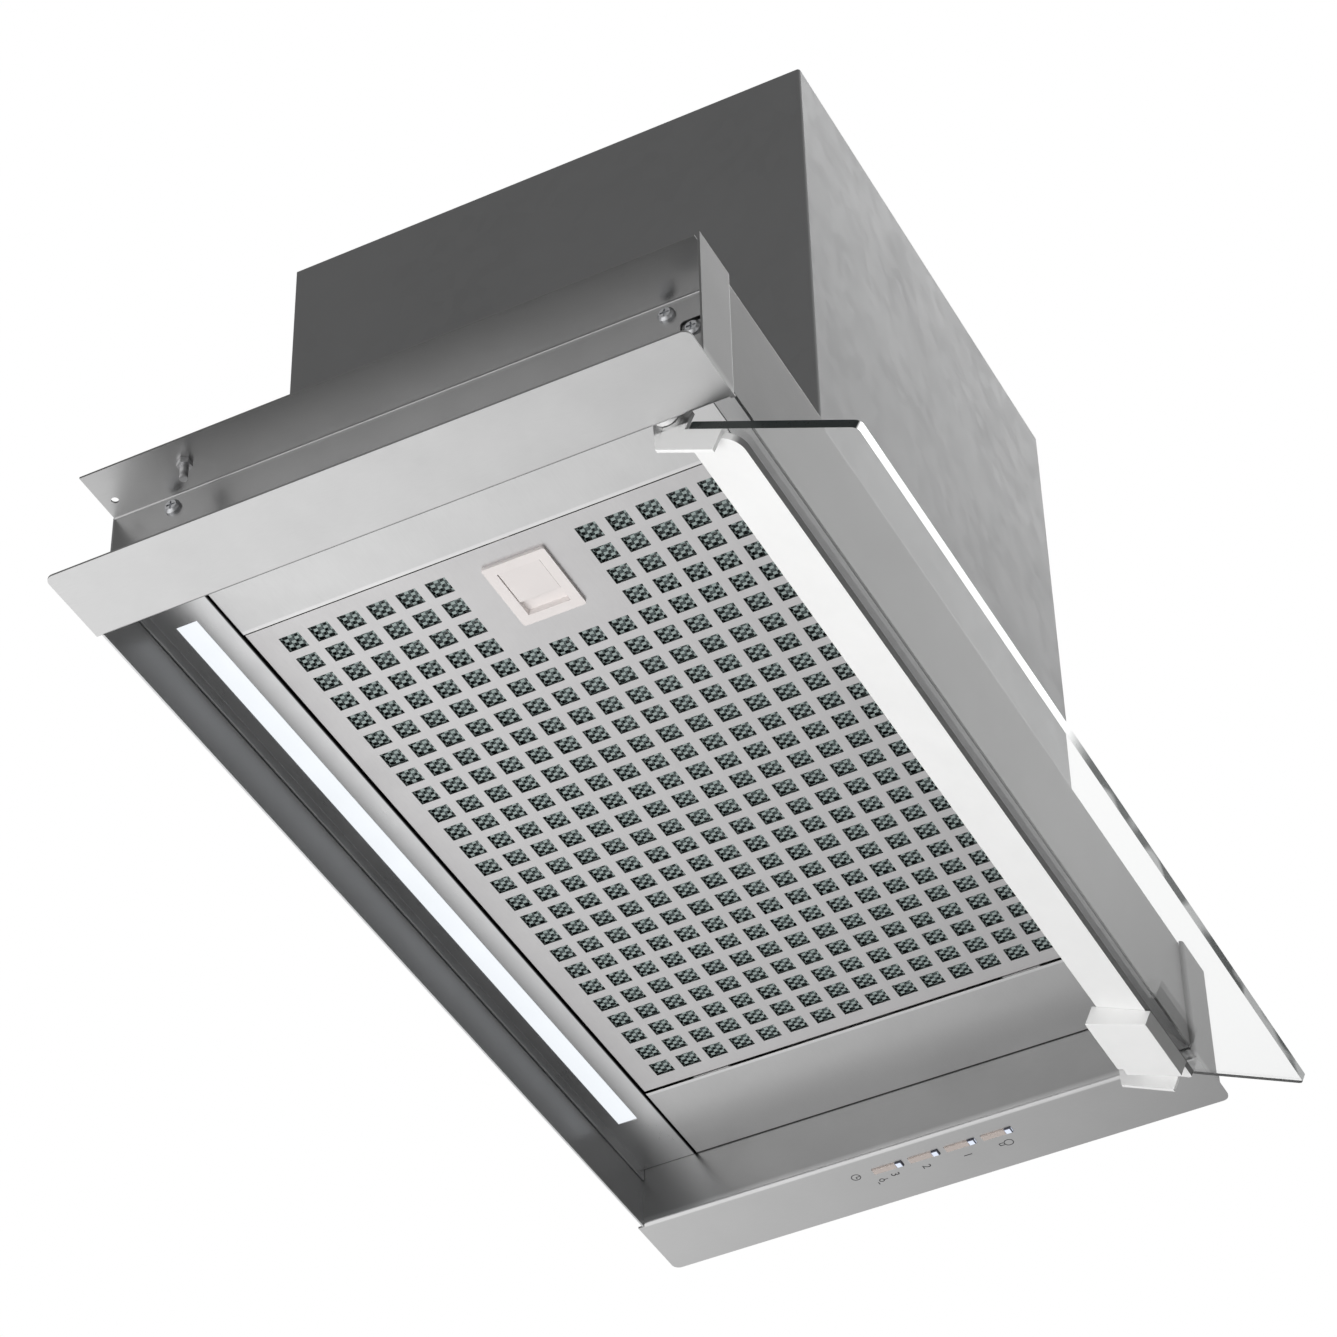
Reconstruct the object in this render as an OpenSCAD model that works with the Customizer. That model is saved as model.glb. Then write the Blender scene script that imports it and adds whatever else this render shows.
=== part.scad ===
// Built-in range hood, seen from below with its controls at the right.
// X runs to the right, Y to the back, Z up. The origin lies midway between
// the two end strips, on their underside.

/* [Lower box] */
// Width across both end strips
overall_w = 594; // [570:1:620]
// Depth of the end strips, front to back
strip_depth = 310; // [300:1:330]
// Width of each end strip
strip_w = 43; // [40:1:48]
// Corner radius of the end strips
strip_corner = 4; // [1:0.5:8]
// Thickness of the folded sheet
sheet_t = 1; // [0.8:0.1:1.2]
// Outer radius of the folds in the sheet
bend_r = 2; // [1.5:0.1:3]
// Height of the upper flanges above the underside of the strips
flange_z = 70; // [68:1:80]
// Reach of the upper flange beyond the inside of the end wall
flange_w = 30; // [26:1:34]
// Height of the front tabs and of the front panel
tab_h = 73; // [73:1:84]
// Reach of a front tab beyond the inside of the end wall
tab_w = 29; // [24:1:34]
// Distance of the back panel from the back edge of the strips
back_setback = 3.5; // [2.5:0.5:6]
// Distance of the front panel behind the front tabs
panel_setback = 2; // [1:0.5:4]
// Height of the lower edge of the front panel
panel_low = 6.5; // [5:0.5:9]
// Height of the filter face above the underside of the strips
recess_h = 34.5; // [32:0.5:38]
// Distance of the filter well's front edge behind the front panel
ledge_back = 21.7; // [19:0.5:24]

/* [Light] */
// Distance from the back panel to the front edge of the light panel
light_reach = 31; // [30:0.5:34]
// Height of the light panel's flange, which hangs down at the back
light_flange_h = 6.7; // [5:0.1:9]
// Distance from each end wall to the light window
light_end = 41.5; // [36:0.5:60]
// Width of the light window
light_w = 10.8; // [8:0.2:12]

/* [Grease filter] */
// Pitch of the square holes
hole_pitch = 15; // [14:0.1:15.4]
// Side of a square hole
hole_side = 10; // [8:0.1:11]
// Least distance from the filter's edge to the first hole's centre
hole_margin = 12; // [11:0.5:13]
// Distance from each end wall to the filter
shelf_w = 60; // [56:1:66]
// Depth of the ledge in front of the filter
ledge_d = 4.8; // [3:0.1:8]
// Columns left out round the latch
latch_cols = 4; // [4:1:5]
// Rows left out round the latch
latch_rows = 4; // [4:1:5]
// Height of the filter's frame
filter_t = 9; // [8.5:0.5:12]

/* [Latch] */
// Length of the latch bezel along the hood
bezel_l = 40.5; // [39:0.5:44]
// Width of the latch bezel
bezel_w = 31.6; // [29:0.5:36]
// Length of the opening in the bezel
bezel_open_l = 29.4; // [28:0.2:30]
// Width of the opening in the bezel
bezel_open_w = 21.2; // [19:0.2:23]
// Travel of the latch slider
latch_travel = 6; // [4:0.5:6.5]

/* [Visor] */
// Tilt of the visor as it hangs, from level
visor_tilt = 25; // [15:1:35]
// Depth of the glass, hinge side to front
glass_d = 85; // [70:1:100]
// Thickness of the glass
glass_t = 4; // [3:0.1:5]
// Corner radius of the glass
glass_corner = 3; // [1:0.5:8]
// Width of the white bar under the glass
bar_d = 26.7; // [20:0.1:30]
// Thickness of the white bar
bar_t = 3.2; // [2:0.1:4]
// Distance of the bar's front edge from the front edge of the glass
bar_front = 58.4; // [52:0.2:60]
// Length of the white box
vbox_l = 46; // [40:1:60]
// Depth of the white box
vbox_d = 32.4; // [26:0.2:34]
// Height of the white box at its back
vbox_h = 10.4; // [8:0.2:12]

/* [Buttons] */
// Length of a button slot
slot_l = 16.8; // [15:0.2:18]
// Width of a button slot
slot_w = 4.5; // [4.2:0.1:6]
// Pitch of the button slots
slot_pitch = 20.1; // [19:0.1:22]
// Number of buttons
button_n = 4; // [2:1:4]
// Travel of a button
button_travel = 0.8; // [0.4:0.1:1]
// How far the caps and windows stand out below the strip
button_proud = 0.7; // [0.3:0.1:1]

/* [Motor box] */
// Width of the motor box
box_w = 292; // [285:1:305]
// Distance of the motor box behind the front panel
box_setback = 19; // [16:0.5:19]
// Height of the top of the motor box
box_top = 364; // [362:1:380]
// Shift of the motor box to the right of the middle
box_shift = 27.7; // [20:0.5:34]
// Radius of the motor box's upright edges
box_corner = 1.5; // [1.5:0.5:6]
// Outer diameter of the duct collar
collar_dia = 149; // [145:1:151]
// Height of the duct collar
collar_h = 45; // [42:1:55]

/* [Fan] */
// Radius of the fan wheel
wheel_r = 80; // [74:1:81]
// Length of the fan wheel
wheel_l = 136; // [120:2:138]
// Number of fan blades
blade_n = 36; // [24:1:44]
// Width of the fan scroll
scroll_w = 150; // [148:1:156]
// Radius of the motor case
motor_r = 45; // [40:1:50]

/* [Fasteners] */
// Radius of a pan head
head_r = 4; // [3.6:0.1:4.2]
// Height of a pan head
head_h = 2.4; // [2:0.1:2.4]
// Radius of a screw's shank
shank_r = 1.8; // [1.5:0.1:1.9]
// Radius of the visor's pivot pins
pin_r = 3; // [2.5:0.1:3.5]

/* [Hidden] */
$fn = 64;

// Gap between fixed pieces that lie against each other
seat_gap = 0.2;
// Gap between pieces that move past each other
run_gap = 0.3;
// Radial clearance of a pin in its bore
pin_fit = 0.05;
// Radial clearance of a screw in its hole
screw_gap = 0.2;
// Overrun of every cut
over = 1;

wall_in = overall_w/2 - strip_w;
wall_out = wall_in + sheet_t;
strip_y = strip_depth/2;
back_y = strip_y - back_setback;
back_out = back_y + sheet_t;
panel_y = -strip_y + panel_setback;
panel_back = panel_y + sheet_t;
roof_z = flange_z + sheet_t;
ledge_y = panel_y + ledge_back;
shelf_top = recess_h + sheet_t;

// Screws through the end walls, as places along Y and Z
wall_screw_inset = 30;
wall_screw_drop = 7.3;
wall_screws_y = [-strip_y + wall_screw_inset, back_y - wall_screw_inset - sheet_t];
wall_screw_z = flange_z - wall_screw_drop;
notch_inset = 18.4;
notch_drop = 20;
notch_side = 11;
notch_y = -strip_y + notch_inset;
notch_z = flange_z - notch_drop;
roof_flange_h = 13;
panel_lip = 8;
return_top = notch_z + notch_side/2 - sheet_t;
shank_l = 7;
cross_w = 0.9;
cross_l_share = 1.1;
cross_depth_share = 0.5;

// Vertical clamp screws and the holes in the upper flanges
clamp_in = 13;
clamp_back = 46.5;
clamp_r = 2;
clamp_below = 10.5;
clamp_above = 9;
clamp_nut_r = 3.6;
clamp_nut_h = 3;
flange_hole_in = 18.9;
flange_hole_back = 6.5;
flange_hole_r = 1.8;

// Light
light_front = back_y - light_reach;
light_run = light_reach - seat_gap;
light_l = 2*(wall_in - light_end);
light_inset = 12.4;
light_joint = 1;
diffuser_shoulder = 2;
diffuser_t = 2.4;
board_w = 8;
board_t = 1.2;
cover_wall = 1;
cover_h = 9;
driver_size = [42, 100, 15];
driver_gap_x = 6;

// Filter
filter_gap = 1.5;
filter_side_gap = 0.6;
hook_gap = 2;
filter_w = 2*(wall_in - shelf_w);
filter_back = light_front - filter_gap;
filter_front = ledge_y + ledge_d + filter_gap;
filter_d = filter_back - filter_front;
hole_cols = floor((filter_w - 2*hole_margin)/hole_pitch) + 1;
hole_rows = floor((filter_d - 2*hole_margin)/hole_pitch) + 1;
margin_y = (filter_d - (hole_rows - 1)*hole_pitch)/2;
filter_y = (filter_back + filter_front)/2;
face_t = 0.8;
frame_t = 1;
frame_lip = 6;
mesh_t = 4;
grille_t = 1;
grille_cols = 9;
grille_rows = 6;
grille_bar = 3;
hook_l = 3.5;
hook_w = 20;
hook_t = 1.2;
hook_spread_share = 0.35;
face_top = recess_h + face_t;
frame_top = face_top + filter_t - face_t;

// Latch
block_first = floor((hole_rows - latch_rows + 1)/2);
latch_y = filter_back - margin_y - (block_first + (latch_rows - 1)/2)*hole_pitch;
bezel_inset = 11.8;
latch_x = -filter_w/2 + bezel_inset + bezel_l/2;
bezel_proud = 1.6;
bezel_step = 1.2;
pan_wall = 1.4;
pan_ceiling = 0.8;
finger_gap = 8.6;
flap_l = bezel_open_l - finger_gap;
flap_t = 1.6;
flap_sink = 0.4;
finger_depth = 3.2;
neck_l = 7;
neck_w = 12;
carriage_t = 2.2;
carriage_l = 17;
bolt_w = 10;
bolt_reach = 3.4;
spring_wire = 0.4;
latch_low = recess_h - bezel_proud;
latch_flap_x = latch_x - bezel_open_l/2 + run_gap;
ceiling_z = latch_low + finger_depth;
carriage_z = ceiling_z + pan_ceiling + run_gap;
pan_top = carriage_z + carriage_t + run_gap + pan_ceiling;
block_w = latch_cols*hole_pitch - (hole_pitch - hole_side)/2;
block_d = latch_rows*hole_pitch;

// Visor, in the frame of its hinge: along the glass, and square to it
axis_setback = 31.3;
visor_axis_y = panel_y + axis_setback;
visor_axis_z = 7.8;
axis_rise = 7;
axis_back = 12.2;
visor_end_gap = 3.5;
visor_half = wall_in - visor_end_gap;
arm_t = 2;
arm_front = 30.7;
arm_back = 1.7;
arm_low = 18;
arm_boss_r = 7;
arm_back_turn = 37;
arm_top = 2.5;
bar_round_left = 8;
bar_round_right = 2;
bar_end_gap = 0.1;
vbox_end = 16.9;
vbox_ahead = 3;
vbox_taper = 2.4;
vbox_wall = 1.4;
vbox_nick = [5, 3];
magnet_size = [20, 8, 4];
glass_low = -axis_rise;
glass_back = -axis_back;
glass_front = glass_back - glass_d;
bar_top = glass_low - seat_gap;
bar_low = bar_top - bar_t;
bar_y0 = glass_front + bar_front;
pin_head_r = 5;
pin_head_h = 1.5;
nut_h = 3;
nut_r = 5.5;
washer_r = 6;
pin_tail = 1;

// Buttons and controls
button_in = 14;
button_x = wall_in + button_in;
button_first = 19.5;
buttons_y = [for (i = [0:button_n - 1]) button_first - i*slot_pitch];
window_l = 3.6;
button_rim = 1.8;
button_rim_t = 1.2;
stem_r = 1.5;
switch_side = 6;
switch_h = 4;
switch_gap = 0.6;
stem_in = 1.2;
board_z = 12;
control_wall = 1.5;
control_w = 25;
control_h = 21;
control_margin = 17;
control_t = 1.6;
post_r = 2.5;
control_gap = 3;
control_in = wall_out + control_gap;
control_y0 = button_first - (button_n - 1)*slot_pitch - control_margin;
control_y1 = button_first + control_margin;
stem_top = board_z - switch_h + stem_in;

// Motor box
box_x0 = box_shift - box_w/2;
box_x1 = box_shift + box_w/2;
box_y0 = panel_y + box_setback;
box_d = back_out - box_y0;
foot_w = 9;
box_lip = 12;
box_screw_n = 3;
back_cover_gap = 1;
outlet_r = collar_dia/2 - 3;

// Fan, in the frame of the wheel's axle
scroll_wall = 2.5;
scroll_gap = 6;
scroll_growth = 42;
scroll_steps = 48;
inlet_gap = 2;
blade_depth = 16;
blade_t = 1.1;
blade_curve_steps = 4;
blade_lean = 12;
ring_t = 2;
disc_t = 2;
hub_r = 12;
hub_l = 30;
shaft_r = 4;
motor_gap = 12;
motor_wall = 2.5;
stator_r = 24;
stator_l = 30;
rotor_gap = 1;
bearing_r = 11;
bearing_l = 7;
bracket_t = 3;
bracket_arm_w = 14;
bracket_hub_r = 46;
mount_r = 6;
mount_t = 3;
mount_ring = 74;
fan_y = 12;
fan_back_gap = 22;
scroll_r0 = wheel_r + scroll_gap;
scroll_r1 = scroll_r0 + scroll_growth;
fan_z = roof_z + scroll_r1 + scroll_wall;
scroll_top = box_top - sheet_t - seat_gap;
channel_front = -scroll_r1;
channel_back = fan_back_gap;
outlet_y = fan_y + (channel_front + channel_back)/2;
wheel_in = wheel_r - blade_depth;
inlet_r = wheel_in - inlet_gap;

// Duct collar and flaps
collar_wall = 2;
collar_flange = 12;
collar_screw_out = 7;
collar_flange_t = 2;
collar_screw_n = 4;
flap_pin_r = 1.5;
flap_pin_z = 18;
flap_t2 = 1.6;
flap_edge = 1.2;
knuckle_r = 2.8;
knuckle_n = 6;
knuckle_span_share = 0.8;
collar_r = collar_dia/2;
bore_r = collar_r - collar_wall;

// Electrical pieces
cap_r = 15;
cap_l = 60;
cap_back = 40;
cap_rise = 30;
conn_size = [34, 70, 56];
conn_wall = 2;
conn_drop = 12;
conn_back = 20;
gland_r = 9;
gland_h = 14;
gland_bore = 4;
gland_nut_r = 11;
gland_nut_h = 4;

// A box between two corners
module block(x0, x1, y0, y1, z0, z1) {
    translate([x0, y0, z0])
        cube([x1 - x0, y1 - y0, z1 - z0]);
}

// A flat plate with round corners, centred on its own middle
module round_plate(w, d, t, r) {
    linear_extrude(t) {
        square([w - 2*r, d], center = true);
        square([w, d - 2*r], center = true);
        for (sx = [-1, 1], sy = [-1, 1])
            translate([sx*(w/2 - r), sy*(d/2 - r)])
                circle(r);
    }
}

// A tube along Z
module tube(outer, inner, h) {
    difference() {
        cylinder(r = outer, h = h);
        translate([0, 0, -over])
            cylinder(r = inner, h = h + 2*over);
    }
}

// A rolled corner of the sheet: a quarter ring round the Z axis, in the first quadrant
module bend(length) {
    linear_extrude(length)
        intersection() {
            difference() {
                circle(bend_r);
                circle(bend_r - sheet_t);
            }
            square(bend_r);
        }
}

// A pan-head screw whose head rests on z = 0 and whose shank points down
module pan_screw(length = shank_l) {
    difference() {
        union() {
            cylinder(r = head_r, h = head_h/2);
            translate([0, 0, head_h/2])
                cylinder(r1 = head_r, r2 = head_r*0.7, h = head_h/2);
        }
        for (turn = [0, 90])
            rotate(turn)
                translate([0, 0, head_h])
                    cube([head_r*cross_l_share, cross_w, 2*head_h*cross_depth_share], center = true);
    }
    translate([0, 0, -length])
        cylinder(r = shank_r, h = length + head_h/4);
}

// Places a shape that looks along Z so that it looks outwards from the right end wall
module on_right_wall(y, z, x = wall_out) {
    translate([x, y, z])
        rotate([0, 90, 0])
            children();
}

// The underside of the light panel, whose front edge is at the filter's back
module on_light_panel() {
    translate([0, light_front, recess_h])
        children();
}

// The hanging frame of the visor, with its hinge at the origin
module on_visor() {
    translate([0, visor_axis_y, visor_axis_z])
        rotate([visor_tilt, 0, 0])
            children();
}

// The frame of the fan, with the axle along Z and the left side down
module on_fan() {
    translate([box_shift, fan_y, fan_z])
        rotate([90, 0, 90])
            children();
}

// One end plate, at the right: strip, wall, upper flange and front tab, with rolled folds
module end_plate() {
    fold_x = wall_in + bend_r;
    fold_y = -strip_y + bend_r;
    difference() {
        union() {
            block(wall_in, wall_out, fold_y, back_y, bend_r, roof_z - bend_r);
            translate([fold_x, back_y, bend_r])
                rotate([0, 180, 0])
                    rotate([90, 0, 0])
                        bend(back_y - fold_y);
            translate([fold_x, back_y, roof_z - bend_r])
                mirror([1, 0, 0])
                    rotate([90, 0, 0])
                        bend(back_y - fold_y);
            translate([fold_x, fold_y, sheet_t])
                rotate(180)
                    bend(tab_h - sheet_t);
            intersection() {
                round_plate(overall_w, strip_depth, sheet_t, strip_corner);
                union() {
                    block(fold_x, overall_w, -strip_depth, strip_depth, -over, sheet_t + over);
                    block(wall_in, overall_w, -strip_depth, fold_y, -over, sheet_t + over);
                    block(wall_out + seat_gap, overall_w, back_y, strip_depth, -over, sheet_t + over);
                }
            }
            block(fold_x, wall_in + flange_w, fold_y, back_y, flange_z, roof_z);
            block(fold_x, wall_in + tab_w, -strip_y, -strip_y + sheet_t, 0, tab_h);
        }
        for (y = wall_screws_y)
            on_right_wall(y, wall_screw_z, wall_in - over)
                cylinder(r = shank_r + screw_gap, h = sheet_t + 2*over);
        on_right_wall(notch_y, notch_z, wall_in - over)
            round_plate(notch_side, notch_side, sheet_t + 2*over, notch_side/5);
        on_right_wall(visor_axis_y, visor_axis_z, wall_in - over)
            cylinder(r = pin_r + screw_gap, h = sheet_t + 2*over);
        translate([wall_in + flange_w - clamp_in, back_y - clamp_back, flange_z - over])
            cylinder(r = clamp_r + screw_gap, h = sheet_t + 2*over);
        translate([wall_in + flange_w - flange_hole_in, back_y - flange_hole_back, flange_z - over])
            cylinder(r = flange_hole_r, h = sheet_t + 2*over);
    }
}

module left_end_plate() {
    color("lightgray")
        mirror([1, 0, 0])
            end_plate();
}

module right_end_plate() {
    color("lightgray")
        difference() {
            end_plate();
            for (y = buttons_y)
                block(button_x - slot_w/2, button_x + slot_w/2, y - slot_l/2, y + slot_l/2,
                    -over, sheet_t + over);
        }
}

module front_panel() {
    half = wall_in - seat_gap;
    fold_y = panel_y + bend_r;
    color("silver")
        difference() {
            union() {
                block(-half + bend_r, half - bend_r, panel_y, panel_back, panel_low, tab_h - bend_r);
                block(-half, half, panel_y, panel_back, return_top, tab_h - bend_r);
                block(-half, half, fold_y, panel_y + panel_lip, tab_h - sheet_t, tab_h);
                translate([-half, fold_y, tab_h - bend_r])
                    mirror([0, 1, 0])
                        rotate([90, 0, 90])
                            bend(2*half);
                for (side = [0, 1])
                    mirror([side, 0, 0]) {
                        translate([half - bend_r, fold_y, panel_low])
                            rotate(-90)
                                bend(return_top - panel_low);
                        block(half - sheet_t, half, fold_y, ledge_y, panel_low, return_top);
                    }
            }
            for (side = [0, 1])
                mirror([side, 0, 0])
                    on_right_wall(notch_y, notch_z, half - sheet_t - over)
                        cylinder(r = shank_r + screw_gap, h = sheet_t + 2*over);
        }
}

// Sloped strip between the front panel's lower edge and the filter well
module front_inner_wall() {
    half = wall_in - 2*seat_gap - sheet_t;
    low = [panel_back + seat_gap, panel_low];
    high = [ledge_y, recess_h];
    rise = [0, sheet_t/cos(atan2(high.y - low.y, high.x - low.x))];
    well = filter_w/2 + filter_gap - seat_gap;
    color("dimgray") {
        translate([-half, 0, 0])
            rotate([90, 0, 90])
                linear_extrude(2*half)
                    polygon([low, high, high + [0, sheet_t], low + rise]);
        block(-well, well, ledge_y - sheet_t, ledge_y + ledge_d, recess_h, shelf_top);
    }
}

module back_panel() {
    color("gray")
        block(-wall_out, wall_out, back_y, back_out, 0, roof_z);
}

// Roof of the lower box, with an end flange inside each wall
module top_plate() {
    half = wall_in - seat_gap;
    front = panel_back + seat_gap;
    rear = back_y - seat_gap;
    color("silver")
        difference() {
            union() {
                block(-half, half, front, rear, flange_z, roof_z);
                for (side = [0, 1])
                    mirror([side, 0, 0])
                        block(half - sheet_t, half, front, rear, flange_z - roof_flange_h, roof_z);
            }
            block(box_x0 + box_lip, box_x1 - box_lip, box_y0 + box_lip, back_y - box_lip,
                flange_z - over, roof_z + over);
            for (side = [0, 1], y = wall_screws_y)
                mirror([side, 0, 0])
                    on_right_wall(y, wall_screw_z, half - sheet_t - over)
                        cylinder(r = shank_r + screw_gap, h = sheet_t + 2*over);
            box_foot_places()
                translate([0, 0, -sheet_t - over])
                    cylinder(r = shank_r + screw_gap, h = sheet_t + 2*over);
        }
}

// Shelf beside the filter, with an upturned edge against the end wall
module infill_panel(well) {
    half = wall_in - seat_gap;
    color("lightgray") {
        block(well, half, ledge_y + seat_gap, light_front - light_joint, recess_h, shelf_top);
        block(half - sheet_t, half, ledge_y + seat_gap, light_front - light_joint,
            recess_h, recess_h + roof_flange_h);
    }
}

module left_infill_panel() {
    mirror([1, 0, 0])
        infill_panel(filter_w/2 + filter_side_gap);
}

module right_infill_panel() {
    infill_panel(filter_w/2 + hook_gap);
}

// Sheet behind the filter, with the light window and a flange against the back panel
module light_panel() {
    half = wall_in - seat_gap;
    color("darkgray")
        on_light_panel()
            difference() {
                union() {
                    block(-half, half, 0, light_run, 0, sheet_t);
                    block(-half, half, light_run - sheet_t, light_run, -light_flange_h, sheet_t);
                }
                block(-light_l/2, light_l/2, light_inset, light_inset + light_w, -over, sheet_t + over);
            }
}

module light_diffuser() {
    color("white")
        on_light_panel() {
            block(-light_l/2 + seat_gap, light_l/2 - seat_gap, light_inset + seat_gap,
                light_inset + light_w - seat_gap, 0, diffuser_t);
            block(-light_l/2 - diffuser_shoulder, light_l/2 + diffuser_shoulder,
                light_inset - diffuser_shoulder, light_inset + light_w + diffuser_shoulder,
                sheet_t, diffuser_t);
        }
}

module light_board() {
    mid = light_inset + light_w/2;
    color("ivory")
        on_light_panel()
            block(-light_l/2, light_l/2, mid - board_w/2, mid + board_w/2,
                sheet_t + cover_h - cover_wall - board_t, sheet_t + cover_h - cover_wall);
}

// Channel that holds the board above the diffuser
module light_cover() {
    side = diffuser_shoulder + seat_gap;
    y0 = light_inset - side - cover_wall;
    y1 = light_inset + light_w + side + cover_wall;
    x1 = light_l/2 + side + cover_wall;
    color("gainsboro")
        on_light_panel()
            difference() {
                block(-x1, x1, y0, y1, sheet_t, sheet_t + cover_h);
                block(-x1 + cover_wall, x1 - cover_wall, y0 + cover_wall, y1 - cover_wall,
                    0, sheet_t + cover_h - cover_wall);
            }
}

module light_driver() {
    x1 = wall_in - seat_gap - sheet_t - driver_gap_x;
    color("whitesmoke")
        block(x1 - driver_size.x, x1, -driver_size.y/2, driver_size.y/2,
            flange_z - driver_size.z, flange_z);
}

// Centres of the filter's holes, without those round the latch
module hole_places() {
    for (col = [0:hole_cols - 1], row = [0:hole_rows - 1]) {
        beside_latch = col < latch_cols && row >= block_first && row < block_first + latch_rows;
        if (!beside_latch)
            translate([(col - (hole_cols - 1)/2)*hole_pitch, filter_back - margin_y - row*hole_pitch])
                children();
    }
}

module filter_face() {
    color("silver")
        translate([0, 0, recess_h])
            linear_extrude(face_t)
                difference() {
                    translate([-filter_w/2, filter_front])
                        square([filter_w, filter_d]);
                    hole_places()
                        square(hole_side, center = true);
                    translate([latch_x, latch_y])
                        square([bezel_l - 2*bezel_step, bezel_w - 2*bezel_step], center = true);
                }
}

// Rim of the filter, with two hooks at the right
module filter_frame() {
    half = filter_w/2;
    color("gainsboro") {
        difference() {
            block(-half, half, filter_front, filter_back, face_top, frame_top);
            block(-half + frame_t, half - frame_t, filter_front + frame_t, filter_back - frame_t,
                face_top - over, frame_top - frame_t);
            block(-half + frame_lip, half - frame_lip, filter_front + frame_lip,
                filter_back - frame_lip, face_top, frame_top + over);
            block(-half - over, -half + frame_t + over, latch_y - bolt_w/2 - run_gap,
                latch_y + bolt_w/2 + run_gap, face_top - over, carriage_z + carriage_t + run_gap);
        }
        for (side = [-1, 1])
            translate([half - frame_t, filter_y + side*filter_d*hook_spread_share, shelf_top + run_gap])
                translate([0, -hook_w/2, 0])
                    cube([frame_t + hook_gap + hook_l, hook_w, hook_t]);
    }
}

// What the latch needs clear inside the filter
module latch_room() {
    block(-filter_w, -filter_w/2 + frame_t + block_w, latch_y - block_d/2, latch_y + block_d/2,
        face_top - over, frame_top + over);
}

module filter_mesh() {
    inset = frame_t + seat_gap;
    color("darkslategray")
        difference() {
            block(-filter_w/2 + inset, filter_w/2 - inset, filter_front + inset, filter_back - inset,
                face_top + seat_gap, face_top + seat_gap + mesh_t);
            latch_room();
        }
}

// Plain grille that keeps the mesh in the frame
module filter_grille() {
    inset = frame_t + seat_gap;
    x0 = -filter_w/2 + inset;
    y0 = filter_front + inset;
    step_x = (filter_w - 2*inset - grille_bar)/grille_cols;
    step_y = (filter_d - 2*inset - grille_bar)/grille_rows;
    low = face_top + 2*seat_gap + mesh_t;
    color("gray")
        difference() {
            block(x0, -x0, y0, filter_back - inset, low, low + grille_t);
            for (i = [0:grille_cols - 1], j = [0:grille_rows - 1])
                translate([x0 + grille_bar + i*step_x, y0 + grille_bar + j*step_y, low - over])
                    cube([step_x - grille_bar, step_y - grille_bar, grille_t + 2*over]);
            latch_room();
        }
}

// Bezel and pan of the latch, moulded in one
module latch_bezel() {
    pan_l = bezel_l - 2*bezel_step - 2*seat_gap;
    pan_w = bezel_w - 2*bezel_step - 2*seat_gap;
    room_l = pan_l - 2*pan_wall;
    color("mistyrose")
        difference() {
            union() {
                translate([latch_x, latch_y, latch_low])
                    round_plate(bezel_l, bezel_w, bezel_proud, bezel_step);
                block(latch_x - pan_l/2, latch_x + pan_l/2, latch_y - pan_w/2, latch_y + pan_w/2,
                    latch_low, pan_top);
            }
            // opening for the flap and the finger, below the ceiling
            block(latch_x - bezel_open_l/2, latch_x + bezel_open_l/2, latch_y - bezel_open_w/2,
                latch_y + bezel_open_w/2, latch_low - over, ceiling_z);
            // way for the neck
            block(latch_x - room_l/2, latch_flap_x + neck_l + latch_travel + 2*run_gap,
                latch_y - neck_w/2 - run_gap, latch_y + neck_w/2 + run_gap, latch_low + flap_t,
                carriage_z);
            // room for the carriage and its spring
            block(latch_x - room_l/2, latch_x + room_l/2, latch_y - neck_w/2 - run_gap,
                latch_y + neck_w/2 + run_gap, carriage_z - run_gap, pan_top - pan_ceiling);
            // way out for the bolt
            block(latch_x - bezel_l, latch_x, latch_y - bolt_w/2 - run_gap,
                latch_y + bolt_w/2 + run_gap, carriage_z - run_gap, pan_top - pan_ceiling);
        }
}

// Flap, neck, carriage and bolt of the latch
module latch_slider() {
    flap_low = latch_low + flap_sink;
    x0 = latch_flap_x;
    bolt_end = -filter_w/2 - bolt_reach;
    nose_end = latch_x - bezel_l/2 + bezel_step + seat_gap - latch_travel - run_gap;
    top = carriage_z + carriage_t;
    color("mistyrose") {
        block(x0, x0 + flap_l - run_gap, latch_y - bezel_open_w/2 + run_gap,
            latch_y + bezel_open_w/2 - run_gap, flap_low, flap_low + flap_t);
        block(x0, x0 + neck_l, latch_y - neck_w/2, latch_y + neck_w/2, flap_low, top);
        block(x0, x0 + carriage_l, latch_y - neck_w/2, latch_y + neck_w/2, carriage_z, top);
        block(bolt_end, x0 + neck_l, latch_y - bolt_w/2, latch_y + bolt_w/2, carriage_z, top);
        block(bolt_end, nose_end, latch_y - bolt_w/2, latch_y + bolt_w/2, shelf_top + run_gap, top);
    }
}

// Coil of the latch spring, as a sleeve between the carriage and the pan's end
module latch_spring() {
    pan_l = bezel_l - 2*bezel_step - 2*seat_gap;
    x0 = latch_flap_x + carriage_l + seat_gap;
    x1 = latch_x + pan_l/2 - pan_wall - seat_gap;
    color("silver")
        translate([x0, latch_y, carriage_z + carriage_t/2])
            rotate([0, 90, 0])
                tube(carriage_t/2, carriage_t/2 - spring_wire, x1 - x0);
}

module visor_glass() {
    color("lightcyan")
        on_visor()
            translate([0, glass_front + glass_d/2, glass_low])
                round_plate(2*visor_half, glass_d, glass_t, glass_corner);
}

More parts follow.
